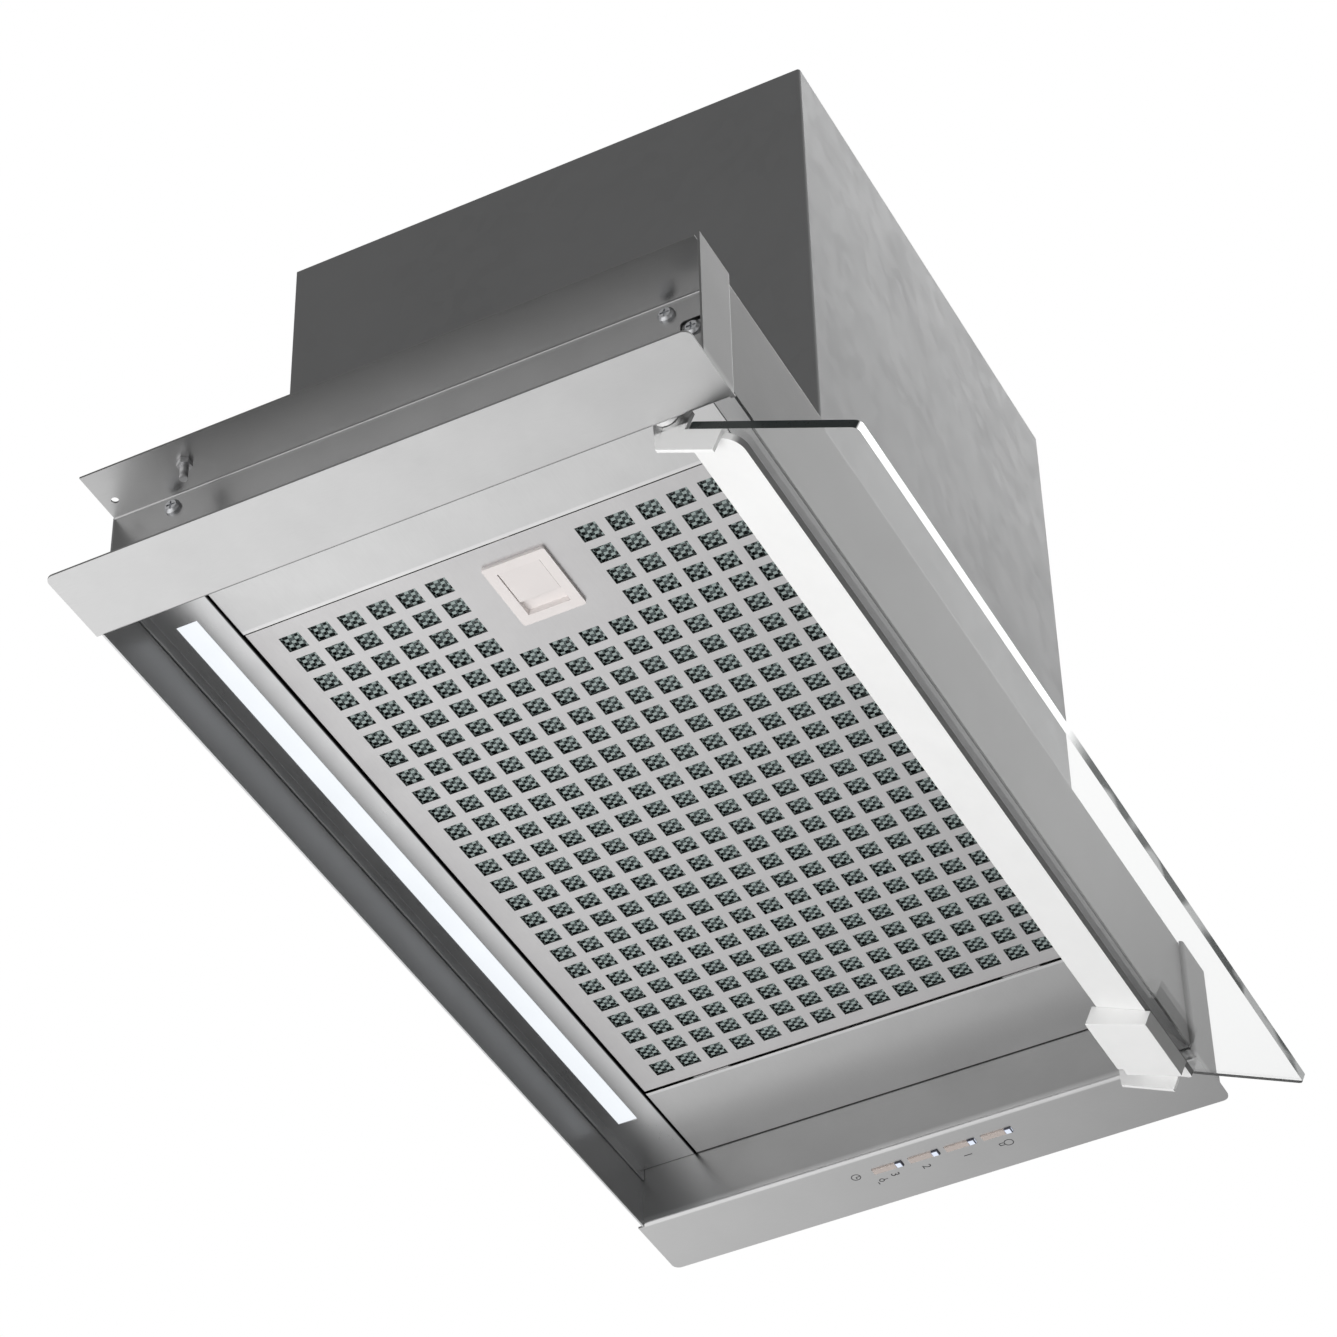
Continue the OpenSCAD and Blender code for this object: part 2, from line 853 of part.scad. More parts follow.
// Flat outline of the white bar, with its two front corners rounded
module bar_outline(half, y0, y1) {
    translate([-half + bar_round_left, y0])
        square([2*half - bar_round_left - bar_round_right, y1 - y0]);
    translate([-half, y0 + bar_round_left])
        square([half, y1 - y0 - bar_round_left]);
    translate([0, y0 + bar_round_right])
        square([half, y1 - y0 - bar_round_right]);
    translate([-half + bar_round_left, y0 + bar_round_left])
        circle(bar_round_left);
    translate([half - bar_round_right, y0 + bar_round_right])
        circle(bar_round_right);
}

module visor_bar() {
    half = visor_half - arm_t - bar_end_gap;
    color("white")
        on_visor()
            translate([0, 0, bar_low])
                linear_extrude(bar_t)
                    bar_outline(half, bar_y0, bar_y0 + bar_d);
}

// One visor arm, at the right: the glass rests on its step, the boss takes the pin
module visor_arm() {
    on_visor()
        translate([visor_half - arm_t, 0, 0])
            rotate([90, 0, 90])
                linear_extrude(arm_t)
                    difference() {
                        union() {
                            polygon([
                                [-arm_front, -arm_low], [-arm_back, -arm_low],
                                arm_boss_r*[cos(arm_back_turn), -sin(arm_back_turn)], [0, arm_boss_r],
                                [glass_back + seat_gap, arm_top], [glass_back + seat_gap, glass_low],
                                [-arm_front, glass_low]
                            ]);
                            circle(arm_boss_r);
                        }
                        circle(pin_r + pin_fit);
                    }
}

module visor_left_arm() {
    color("whitesmoke")
        mirror([1, 0, 0])
            visor_arm();
}

module visor_right_arm() {
    color("whitesmoke")
        visor_arm();
}

// White box under the bar at the control end
module visor_box() {
    x1 = visor_half - vbox_end;
    x0 = x1 - vbox_l;
    y0 = bar_y0 - vbox_ahead;
    y1 = y0 + vbox_d;
    front_h = vbox_h - vbox_taper;
    color("white")
        on_visor()
            difference() {
                translate([x0, 0, 0])
                    rotate([90, 0, 90])
                        linear_extrude(vbox_l)
                            polygon([
                                [y0, bar_low], [y1, bar_low], [y1, bar_low - vbox_h],
                                [y0, bar_low - front_h]
                            ]);
                translate([x0 + vbox_wall, 0, 0])
                    rotate([90, 0, 90])
                        linear_extrude(vbox_l - 2*vbox_wall)
                            polygon([
                                [y0 + vbox_wall, bar_low + over], [y1 - vbox_wall, bar_low + over],
                                [y1 - vbox_wall, bar_low - vbox_h + vbox_wall],
                                [y0 + vbox_wall, bar_low - front_h + vbox_wall]
                            ]);
                block(x1 - vbox_nick.x, x1 + over, y1 - vbox_nick.y, y1 + over,
                    bar_low - vbox_h - over, bar_low + over);
            }
}

module visor_magnet() {
    x1 = visor_half - vbox_end - vbox_wall - vbox_nick.x - seat_gap;
    mid = bar_y0 + bar_d/2;
    color("dimgray")
        on_visor()
            block(x1 - magnet_size.x, x1, mid - magnet_size.y/2, mid + magnet_size.y/2,
                bar_low - magnet_size.z, bar_low);
}

// Places one shape on the hinge line at each end, pointing outwards
module at_visor_hinges(x) {
    for (side = [0, 1])
        mirror([side, 0, 0])
            on_right_wall(visor_axis_y, visor_axis_z, x)
                children();
}

module visor_pins() {
    head_x = visor_half - arm_t - run_gap;
    color("silver")
        at_visor_hinges(head_x) {
            translate([0, 0, -pin_head_h])
                cylinder(r = pin_head_r, h = pin_head_h);
            cylinder(r = pin_r, h = wall_out + nut_h + pin_tail - head_x);
        }
}

module visor_washers() {
    color("dimgray")
        at_visor_hinges(visor_half + run_gap)
            tube(washer_r, pin_r + pin_fit, wall_in - visor_half - 2*run_gap);
}

module visor_nuts() {
    color("silver")
        at_visor_hinges(wall_out)
            difference() {
                cylinder(r = nut_r, h = nut_h, $fn = 6);
                translate([0, 0, -over])
                    cylinder(r = pin_r + pin_fit, h = nut_h + 2*over);
            }
}

// Cap over the controls, on the upper side of the right strip
module control_housing() {
    x0 = control_in;
    x1 = x0 + control_w;
    top = sheet_t + control_h;
    color("dimgray") {
        difference() {
            block(x0, x1, control_y0, control_y1, sheet_t, top);
            block(x0 + control_wall, x1 - control_wall, control_y0 + control_wall,
                control_y1 - control_wall, sheet_t - over, top - control_wall);
        }
        control_posts(top - control_wall);
    }
}

// Posts that carry the circuit board
module control_posts(top) {
    inset = control_wall/2 + post_r;
    for (x = [control_in + inset, control_in + control_w - inset],
            y = [control_y0 + inset, control_y1 - inset])
        translate([x, y, board_z + control_t])
            cylinder(r = post_r, h = top - board_z - control_t + control_wall/2);
}

module control_board() {
    inset = control_wall + seat_gap;
    color("darkgreen")
        block(control_in + inset, control_in + control_w - inset, control_y0 + inset,
            control_y1 - inset, board_z, board_z + control_t);
}

// Middle of a button cap, which shares its slot with the window
function cap_y(y) = y + (window_l + run_gap)/2;

module control_switches() {
    color("black")
        for (y = buttons_y)
            translate([button_x, cap_y(y), board_z - switch_h])
                difference() {
                    translate([-switch_side/2, -switch_side/2, 0])
                        cube([switch_side, switch_side, switch_h]);
                    translate([0, 0, -over])
                        cylinder(r = stem_r + run_gap, h = stem_in + button_travel + switch_gap + over);
                }
}

// Lit block at the front end of each slot
module indicator_windows() {
    color("aliceblue")
        for (y = buttons_y) {
            y0 = y - slot_l/2 + seat_gap;
            block(button_x - slot_w/2 + seat_gap, button_x + slot_w/2 - seat_gap, y0, y0 + window_l,
                -button_proud, board_z - seat_gap);
            block(button_x - slot_w/2 - button_rim, button_x + slot_w/2 + button_rim, y0,
                y0 + window_l, sheet_t, sheet_t + button_rim_t);
        }
}

// Button cap in its slot, its rim above the strip and its stem in the switch
module push_button(index) {
    y1 = buttons_y[index] + slot_l/2 - run_gap;
    y0 = buttons_y[index] - slot_l/2 + seat_gap + window_l + run_gap;
    rim_z = sheet_t + run_gap;
    color("antiquewhite") {
        block(button_x - slot_w/2 + run_gap, button_x + slot_w/2 - run_gap, y0, y1, -button_proud,
            rim_z);
        block(button_x - slot_w/2 - button_rim, button_x + slot_w/2 + button_rim, y0, y1, rim_z,
            rim_z + button_rim_t);
        translate([button_x, cap_y(buttons_y[index]), rim_z])
            cylinder(r = stem_r, h = stem_top - rim_z);
    }
}

// Screw places round the foot of the motor box, on the roof
module box_foot_places() {
    for (i = [0:box_screw_n - 1]) {
        along = (i + 1/2)/box_screw_n;
        translate([box_x0 + along*box_w, box_y0 - foot_w/2, roof_z])
            children();
        translate([box_x0 - foot_w/2, box_y0 + along*box_d, roof_z])
            children();
        translate([box_x1 + foot_w/2, box_y0 + along*box_d, roof_z])
            children();
    }
}

// Screw places up the two back edges of the motor box, looking to the back
module box_back_places() {
    for (x = [box_x0 + sheet_t + box_lip/2, box_x1 - sheet_t - box_lip/2], i = [0:box_screw_n - 1])
        translate([x, back_out, roof_z + (i + 1/2)*(box_top - roof_z)/box_screw_n])
            rotate([-90, 0, 0])
                children();
}

// Flat outline of the motor box, with round front edges and a square back
module box_outline(inset) {
    r = box_corner - inset;
    x0 = box_x0 + inset;
    x1 = box_x1 - inset;
    y0 = box_y0 + inset;
    translate([x0, y0 + r])
        square([x1 - x0, back_out - y0 - r]);
    translate([x0 + r, y0])
        square([x1 - x0 - 2*r, 2*r]);
    for (x = [x0 + r, x1 - r])
        translate([x, y0 + r])
            circle(r);
}

// Front and sides of the motor box, folded from one sheet, with feet and a lip for the back cover
module motor_box_shell() {
    lip_y = back_y - seat_gap;
    color("darkgray")
        difference() {
            union() {
                difference() {
                    translate([0, 0, roof_z])
                        linear_extrude(box_top - roof_z)
                            box_outline(0);
                    translate([0, 0, roof_z - over])
                        linear_extrude(box_top - roof_z + 2*over)
                            box_outline(sheet_t);
                    block(box_x0 + sheet_t, box_x1 - sheet_t, back_y - box_lip, back_out + over,
                        roof_z - over, box_top + over);
                }
                for (x = [box_x0 + sheet_t, box_x1 - sheet_t - box_lip])
                    block(x - sheet_t/2, x + box_lip + sheet_t/2, lip_y - sheet_t, lip_y, roof_z,
                        box_top - sheet_t - seat_gap);
                block(box_x0 - foot_w, box_x1 + foot_w, box_y0 - foot_w, box_y0 + sheet_t, roof_z,
                    roof_z + sheet_t);
                for (x = [box_x0 - foot_w, box_x1 - sheet_t])
                    block(x, x + foot_w + sheet_t, box_y0 - foot_w, lip_y, roof_z, roof_z + sheet_t);
            }
            box_foot_places()
                translate([0, 0, -over])
                    cylinder(r = shank_r + screw_gap, h = sheet_t + 2*over);
            box_back_places()
                translate([0, 0, -2*sheet_t - seat_gap - over])
                    cylinder(r = shank_r + screw_gap, h = 2*sheet_t + seat_gap + 2*over);
        }
}

// Top of the motor box, let in between the sides, with the outlet
module motor_box_top() {
    color("darkgray")
        difference() {
            translate([0, 0, box_top - sheet_t])
                linear_extrude(sheet_t)
                    box_outline(sheet_t + seat_gap);
            translate([box_shift, outlet_y, box_top - sheet_t - over])
                cylinder(r = outlet_r, h = sheet_t + 2*over);
            collar_places()
                translate([0, 0, -sheet_t - over])
                    cylinder(r = shank_r + screw_gap, h = sheet_t + 2*over);
            gland_place()
                translate([0, 0, -sheet_t - over])
                    cylinder(r = gland_r + screw_gap, h = sheet_t + 2*over);
        }
}

module motor_box_back() {
    inset = sheet_t + seat_gap;
    color("gray")
        difference() {
            block(box_x0 + inset, box_x1 - inset, back_y, back_out, roof_z + back_cover_gap,
                box_top - inset);
            box_back_places()
                translate([0, 0, -sheet_t - over])
                    cylinder(r = shank_r + screw_gap, h = sheet_t + 2*over);
        }
}

// Screw places on the collar's flange
module collar_places() {
    for (i = [0:collar_screw_n - 1])
        translate([box_shift, outlet_y, box_top])
            rotate((i + 1/2)*360/collar_screw_n)
                translate([collar_r + collar_screw_out, 0, 0])
                    children();
}

module duct_collar() {
    color("dimgray")
        difference() {
            translate([box_shift, outlet_y, box_top]) {
                tube(collar_r + collar_flange, bore_r, collar_flange_t);
                tube(collar_r, bore_r, collar_h);
            }
            translate([box_shift - collar_r - over, outlet_y, box_top + flap_pin_z])
                rotate([0, 90, 0])
                    cylinder(r = flap_pin_r + pin_fit, h = 2*collar_r + 2*over);
            collar_places()
                translate([0, 0, -over])
                    cylinder(r = shank_r + screw_gap, h = collar_flange_t + 2*over);
        }
}

// The frame of the flaps: the pin lies along X through the origin
module on_flap_pin() {
    translate([box_shift, outlet_y, box_top + flap_pin_z])
        children();
}

module flap_pin() {
    color("silver")
        on_flap_pin()
            translate([-collar_r + run_gap, 0, 0])
                rotate([0, 90, 0])
                    cylinder(r = flap_pin_r, h = 2*(collar_r - run_gap));
}

// A half-round flap at the back of the pin, with every second knuckle
module flap(first) {
    r = bore_r - flap_edge;
    span = 2*r*knuckle_span_share;
    step = span/knuckle_n;
    knuckle_l = step - 2*run_gap;
    difference() {
        translate([0, 0, -flap_t2/2])
            linear_extrude(flap_t2)
                intersection() {
                    circle(r);
                    translate([-r, knuckle_r + run_gap])
                        square([2*r, r]);
                }
    }
    for (i = [first:2:knuckle_n - 1])
        translate([-span/2 + i*step + run_gap, 0, 0]) {
            rotate([0, 90, 0])
                tube(knuckle_r, flap_pin_r + pin_fit, knuckle_l);
            translate([0, knuckle_r - flap_t2/2, -flap_t2/2])
                cube([knuckle_l, flap_t2 + run_gap, flap_t2]);
        }
}

module back_flap() {
    color("black")
        on_flap_pin()
            flap(0);
}

module front_flap() {
    color("black")
        on_flap_pin()
            mirror([0, 1, 0])
                flap(1);
}

// Inner edge of the scroll: a spiral round the wheel that opens into the outlet channel
function scroll_radius(share) = scroll_r0 + scroll_growth*share;
function spiral(extra) = [
    for (i = [0:scroll_steps])
        let (share = i/scroll_steps, a = 50 - 230*share)
            (scroll_radius(share) + extra)*[cos(a), sin(a)]
];

module scroll_room(extra) {
    top = scroll_top - fan_z + (extra > 0 ? 0 : over);
    polygon(concat(spiral(extra), [[channel_front - extra, top], [channel_back + extra, top]]));
}

// One half of the scroll: side plate with its inlet, and half the spiral wall
module scroll_half() {
    difference() {
        linear_extrude(scroll_w/2)
            scroll_room(scroll_wall);
        translate([0, 0, -over])
            linear_extrude(scroll_w/2 - scroll_wall + over)
                scroll_room(0);
        cylinder(r = inlet_r, h = scroll_w);
    }
}

module scroll_left_half() {
    color("gray")
        on_fan()
            mirror([0, 0, 1])
                scroll_half();
}

module scroll_right_half() {
    color("gray")
        on_fan()
            translate([0, 0, seat_gap])
                scroll_half();
}

// One curved blade in the flat plane, from the inner to the outer radius
function blade_edge(turn) = [
    for (i = [0:blade_curve_steps])
        let (share = i/blade_curve_steps, r = wheel_in + blade_t + share*(blade_depth - 2*blade_t))
            r*[cos(blade_lean*share*share + turn), sin(blade_lean*share*share + turn)]
];

module blade() {
    thick = blade_edge(atan(blade_t/wheel_in));
    polygon(concat(blade_edge(0), [
        for (i = [blade_curve_steps:-1:0])
            thick[i]
    ]));
}

module fan_wheel() {
    color("dimgray")
        on_fan()
            translate([0, 0, seat_gap/2]) {
                for (z = [-wheel_l/2, wheel_l/2 - ring_t])
                    translate([0, 0, z])
                        tube(wheel_r, wheel_in, ring_t);
                translate([0, 0, -disc_t/2])
                    tube(wheel_r, shaft_r + pin_fit, disc_t);
                translate([0, 0, -hub_l + disc_t])
                    tube(hub_r, shaft_r + pin_fit, hub_l);
                translate([0, 0, -wheel_l/2 + ring_t/2])
                    linear_extrude(wheel_l - ring_t)
                        for (i = [0:blade_n - 1])
                            rotate(i*360/blade_n)
                                blade();
            }
}

// Ends of the motor case along the axle
motor_z0 = motor_gap;
motor_z1 = scroll_w/2 + seat_gap + mount_t;

module motor_case() {
    color("silver")
        on_fan()
            difference() {
                translate([0, 0, motor_z0])
                    cylinder(r = motor_r, h = motor_z1 - motor_z0);
                translate([0, 0, motor_z0 + motor_wall])
                    cylinder(r = motor_r - motor_wall, h = motor_z1 - motor_z0 - 2*motor_wall);
                translate([0, 0, motor_z0 - over])
                    cylinder(r = bearing_r + seat_gap/2, h = motor_z1 - motor_z0 + 2*over);
            }
}

module motor_stator() {
    mid = (motor_z0 + motor_z1)/2;
    color("sienna")
        on_fan()
            translate([0, 0, mid - stator_l/2])
                tube(motor_r - motor_wall - seat_gap/2, stator_r, stator_l);
}

module motor_rotor() {
    mid = (motor_z0 + motor_z1)/2;
    color("darkgray")
        on_fan()
            translate([0, 0, mid - stator_l/2])
                tube(stator_r - rotor_gap, shaft_r + pin_fit, stator_l);
}

module motor_shaft() {
    color("silver")
        on_fan()
            translate([0, 0, -hub_l])
                cylinder(r = shaft_r, h = hub_l + motor_z1 - run_gap);
}

module motor_bearings() {
    color("silver")
        on_fan()
            for (z = [motor_z0, motor_z1 - bearing_l])
                translate([0, 0, z])
                    tube(bearing_r, shaft_r + pin_fit, bearing_l);
}

// Angles of the three bracket arms
bracket_turns = [90, 210, 330];

module motor_bracket() {
    color("gray")
        on_fan()
            translate([0, 0, motor_z1])
                linear_extrude(bracket_t)
                    union() {
                        circle(bracket_hub_r);
                        for (turn = bracket_turns)
                            rotate(turn) {
                                translate([0, -bracket_arm_w/2])
                                    square([mount_ring, bracket_arm_w]);
                                translate([mount_ring, 0])
                                    circle(bracket_arm_w/2);
                            }
                    }
}

module rubber_mounts() {
    color("black")
        on_fan()
            for (turn = bracket_turns)
                rotate(turn)
                    translate([mount_ring, 0, scroll_w/2 + seat_gap])
                        cylinder(r = mount_r, h = mount_t);
}

module capacitor() {
    color("white")
        translate([box_x0 + sheet_t + seat_gap + cap_r, back_y - box_lip - cap_back,
                roof_z + sheet_t + cap_rise])
            cylinder(r = cap_r, h = cap_l);
}

// Connection box on the right wall of the motor box
module connection_box() {
    x1 = box_x1 - sheet_t;
    x0 = x1 - conn_size.x;
    y1 = back_y - box_lip - conn_back;
    y0 = y1 - conn_size.y;
    z1 = box_top - sheet_t - conn_drop;
    z0 = z1 - conn_size.z;
    color("white")
        difference() {
            block(x0, x1, y0, y1, z0, z1);
            block(x0 + conn_wall, x1 - conn_wall, y0 + conn_wall, y1 - conn_wall, z0 + conn_wall,
                z1 - conn_wall);
            translate([x1 - conn_size.x/2, (y0 + y1)/2, z1 - conn_wall - over])
                cylinder(r = gland_bore + screw_gap, h = conn_wall + 2*over);
        }
}

// Place of the cable gland on top of the motor box, above the connection box
module gland_place() {
    translate([box_x1 - sheet_t - conn_size.x/2, back_y - box_lip - conn_back - conn_size.y/2, box_top])
        children();
}

module cable_gland() {
    color("black")
        gland_place()
            difference() {
                union() {
                    translate([0, 0, -sheet_t - gland_nut_h])
                        cylinder(r = gland_nut_r, h = gland_nut_h, $fn = 6);
                    translate([0, 0, -sheet_t - gland_nut_h])
                        cylinder(r = gland_r, h = gland_h + gland_nut_h);
                    cylinder(r = gland_nut_r, h = gland_nut_h, $fn = 6);
                }
                translate([0, 0, -gland_h])
                    cylinder(r = gland_bore, h = 3*gland_h);
            }
}

// Pan heads on the end walls: two on each roof flange, one in each notch
module wall_screws() {
    color("silver")
        for (side = [0, 1])
            mirror([side, 0, 0]) {
                for (y = wall_screws_y)
                    on_right_wall(y, wall_screw_z)
                        pan_screw();
                on_right_wall(notch_y, notch_z, wall_in - seat_gap)
                    pan_screw();
            }
}

// Levelling screws through the upper flanges, each with a nut below and a nut above
module clamp_screws() {
    color("silver")
        for (side = [0, 1])
            mirror([side, 0, 0])
                translate([wall_in + flange_w - clamp_in, back_y - clamp_back, flange_z]) {
                    translate([0, 0, -clamp_below])
                        cylinder(r = clamp_r, h = clamp_below + sheet_t + clamp_above);
                    for (z = [-clamp_nut_h, sheet_t])
                        translate([0, 0, z])
                            cylinder(r = clamp_nut_r, h = clamp_nut_h, $fn = 6);
                }
}

// Pan heads of the motor box: its feet, its back cover and the collar
module box_screws() {
    color("silver") {
        box_foot_places()
            translate([0, 0, sheet_t])
                pan_screw(2*sheet_t + over);
        box_back_places()
            pan_screw(2*sheet_t + seat_gap + over);
        collar_places()
            translate([0, 0, collar_flange_t])
                pan_screw(collar_flange_t + sheet_t + over);
    }
}

left_end_plate();
right_end_plate();
front_panel();
front_inner_wall();
back_panel();
top_plate();
left_infill_panel();
right_infill_panel();
light_panel();
light_diffuser();
light_board();
light_cover();
light_driver();
filter_face();
filter_frame();
filter_mesh();
filter_grille();
latch_bezel();
latch_slider();
latch_spring();
visor_glass();
visor_bar();
visor_left_arm();
visor_right_arm();
visor_box();
visor_magnet();
visor_pins();
visor_washers();
visor_nuts();
control_housing();
control_board();
control_switches();
indicator_windows();
push_button(3);  // button_light
push_button(2);  // button_speed_1
push_button(1);  // button_speed_2
push_button(0);  // button_speed_3
motor_box_shell();
motor_box_top();
motor_box_back();
duct_collar();
flap_pin();
front_flap();
back_flap();
scroll_left_half();
scroll_right_half();
fan_wheel();
motor_case();
motor_stator();
motor_rotor();
motor_shaft();
motor_bearings();
motor_bracket();
rubber_mounts();
capacitor();
connection_box();
cable_gland();
wall_screws();
clamp_screws();
box_screws();
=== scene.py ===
"""Looks of a built-in range hood: finishes for its sheets, glass and plastics, the expanded mesh of
its grease filter, the marks beside its buttons, and a plain studio round it. Sizes are in metres."""

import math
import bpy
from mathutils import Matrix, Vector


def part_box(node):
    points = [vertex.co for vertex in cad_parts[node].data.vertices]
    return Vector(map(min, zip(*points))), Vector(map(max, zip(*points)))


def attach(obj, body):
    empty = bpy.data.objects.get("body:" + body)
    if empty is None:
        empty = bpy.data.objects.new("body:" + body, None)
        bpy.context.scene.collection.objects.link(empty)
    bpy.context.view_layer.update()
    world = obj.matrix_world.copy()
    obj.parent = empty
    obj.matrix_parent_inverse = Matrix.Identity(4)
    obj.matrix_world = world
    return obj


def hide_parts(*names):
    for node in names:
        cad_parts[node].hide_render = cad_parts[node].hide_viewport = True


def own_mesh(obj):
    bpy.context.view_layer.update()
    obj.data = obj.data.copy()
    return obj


bl_info = {
    "name": "Built-in range hood",
    "version": (1, 0, 0),
    "blender": (4, 5, 0),
    "location": "3D View > Sidebar > Hood",
    "description": "Finishes, filter mesh, button marks and studio for a built-in range hood",
    "category": "Object",
}

import bpy
from bpy.props import FloatProperty, FloatVectorProperty, PointerProperty
from mathutils import Vector

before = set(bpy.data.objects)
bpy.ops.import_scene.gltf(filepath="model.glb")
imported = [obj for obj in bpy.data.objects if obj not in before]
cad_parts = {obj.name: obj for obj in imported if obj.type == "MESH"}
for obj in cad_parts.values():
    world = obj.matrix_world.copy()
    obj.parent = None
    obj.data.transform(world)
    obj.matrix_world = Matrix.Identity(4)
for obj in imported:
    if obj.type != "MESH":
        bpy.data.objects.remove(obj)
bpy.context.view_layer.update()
MM = 0.001


def tone_prop(name, description, default):
    """A colour that a user can change"""
    return FloatVectorProperty(name=name, description=description, default=default, subtype="COLOR",
                               size=3, min=0.0, max=1.0)


def length_prop(name, description, default):
    """A length that a user can change"""
    return FloatProperty(name=name, description=description, default=default, unit="LENGTH")


def level_prop(name, description, default):
    """A plain number that a user can change"""
    return FloatProperty(name=name, description=description, default=default)


class HoodSheetSettings(bpy.types.PropertyGroup):
    """Folded sheets, outside and inside"""

    edge_round: length_prop("Edge round", "Radius of the deburred edges of the sheets", 0.22 * MM)
    steel_tone: tone_prop("Steel", "Colour of the stainless strips and front", (0.78, 0.78, 0.78))
    steel_roughness: level_prop("Steel roughness", "Roughness of the stainless sheets", 0.34)
    zinc_tone: tone_prop("Zinc", "Colour of the zinc-coated sheets", (0.56, 0.563, 0.567))
    zinc_roughness: level_prop("Zinc roughness", "Roughness of the zinc-coated sheets", 0.36)
    spangle: length_prop("Spangle", "Size of the zinc crystals", 9 * MM)


class HoodFilterSettings(bpy.types.PropertyGroup):
    """Grease filter and the expanded mesh behind its holes"""

    face_tone: tone_prop("Face", "Colour of the perforated face", (0.81, 0.80, 0.803))
    strand_tone: tone_prop("Strands", "Colour of the mesh strands", (0.40, 0.47, 0.455))
    # The layer behind is a real second layer; its darker tone is painted shade
    back_shade_tone: tone_prop("Back layer", "Colour of the mesh layer behind", (0.20, 0.24, 0.24))
    diamond: length_prop("Diamond", "Length of one opening of the mesh", 5.0 * MM)
    row: length_prop("Row", "Distance between two rows of openings", 1.94 * MM)
    strand: length_prop("Strand", "Width of one strand", 0.68 * MM)
    slant: level_prop("Slant", "Slope of the strands across their width", 0.3)
    bond: length_prop("Bond", "Length of the flat places where two strands meet", 2.0 * MM)
    strand_t: length_prop("Strand thickness", "Thickness of the sheet of the mesh", 0.45 * MM)
    layer_gap: length_prop("Layer gap", "Distance from the front layer to the one behind", 1.9 * MM)


class HoodPlasticSettings(bpy.types.PropertyGroup):
    """Mouldings, glass and the light"""

    white_tone: tone_prop("White", "Colour of the white mouldings", (0.89, 0.89, 0.885))
    latch_tone: tone_prop("Latch", "Colour of the latch mouldings", (0.80, 0.755, 0.74))
    button_tone: tone_prop("Buttons", "Colour of the button caps", (0.56, 0.49, 0.455))
    window_tone: tone_prop("Windows", "Colour of the lit windows", (0.80, 0.85, 1.0))
    light_tone: tone_prop("Light", "Colour of the lit diffuser", (0.915, 0.955, 1.0))
    black_tone: tone_prop("Black", "Colour of the black mouldings", (0.022, 0.022, 0.023))
    glass_tone: tone_prop("Glass", "Colour of the glass", (0.96, 0.965, 0.963))
    glass_edge_tone: tone_prop("Glass edge", "Colour of the shaded edges of the glass",
                               (0.26, 0.28, 0.275))


class HoodMarkSettings(bpy.types.PropertyGroup):
    """Printed marks beside the buttons"""

    digit_h: length_prop("Digit height", "Height of a printed digit", 4.6 * MM)
    ring_r: length_prop("Ring radius", "Radius of the clock ring and the lamp ring", 2.6 * MM)
    line: length_prop("Line", "Width of a printed line", 0.5 * MM)
    ink_t: length_prop("Ink", "Thickness of the print", 0.03 * MM)
    ink_tone: tone_prop("Ink", "Colour of the print", (0.05, 0.05, 0.055))


class HoodStageSettings(bpy.types.PropertyGroup):
    """Floor, lamps, surroundings and camera"""

    floor_drop: length_prop("Floor drop", "Height of the strips above the floor", 1.5)
    floor_tone: tone_prop("Floor", "Colour of the floor", (0.86, 0.86, 0.86))
    fill: level_prop("Fill", "Level of the studio that the metals reflect", 0.34)
    left_fill: level_prop("Left", "Level of the studio to the left", 0.16)
    front_fill: level_prop("Front", "Level of the soft light from the front", 0.10)
    near_floor: level_prop("Near floor", "Level of the near floor in the metals", 1.0)
    far_floor: level_prop("Far floor", "Level of the far floor in the metals", 0.25)
    lens: level_prop("Lens", "Focal length on a 36 mm sensor, in millimetres", 115.82)


def sheets():
    """Settings of the folded sheets"""
    return bpy.context.scene.hood_sheets


def grease_filter():
    """Settings of the grease filter"""
    return bpy.context.scene.hood_filter


def plastics():
    """Settings of the mouldings, the glass and the light"""
    return bpy.context.scene.hood_plastics


def printed():
    """Settings of the marks beside the buttons"""
    return bpy.context.scene.hood_marks


def stage():
    """Settings of the studio"""
    return bpy.context.scene.hood_stage


# Parts of a finish


def blank_finish(name):
    """A finish with its shader, its output and the coordinates of the piece that wears it"""
    finish = bpy.data.materials.new(name)
    finish.use_nodes = True
    tree = finish.node_tree
    tree.nodes.clear()
    shader = tree.nodes.new("ShaderNodeBsdfPrincipled")
    output = tree.nodes.new("ShaderNodeOutputMaterial")
    tree.links.new(shader.outputs["BSDF"], output.inputs["Surface"])
    place = tree.nodes.new("ShaderNodeTexCoord")
    return finish, tree, shader, place


def stretched(tree, place, stretch):
    """Coordinates of the piece, stretched along its axes"""
    mapping = tree.nodes.new("ShaderNodeMapping")
    mapping.inputs["Scale"].default_value = stretch
    tree.links.new(place.outputs["Object"], mapping.inputs["Vector"])
    return mapping.outputs["Vector"]


def noise(tree, vector, scale, detail=3.0, rough=0.55):
    """Soft clouds, mostly between 0.3 and 0.7"""
    texture = tree.nodes.new("ShaderNodeTexNoise")
    texture.inputs["Scale"].default_value = scale
    texture.inputs["Detail"].default_value = detail
    texture.inputs["Roughness"].default_value = rough
    tree.links.new(vector, texture.inputs["Vector"])
    return texture.outputs["Fac"]


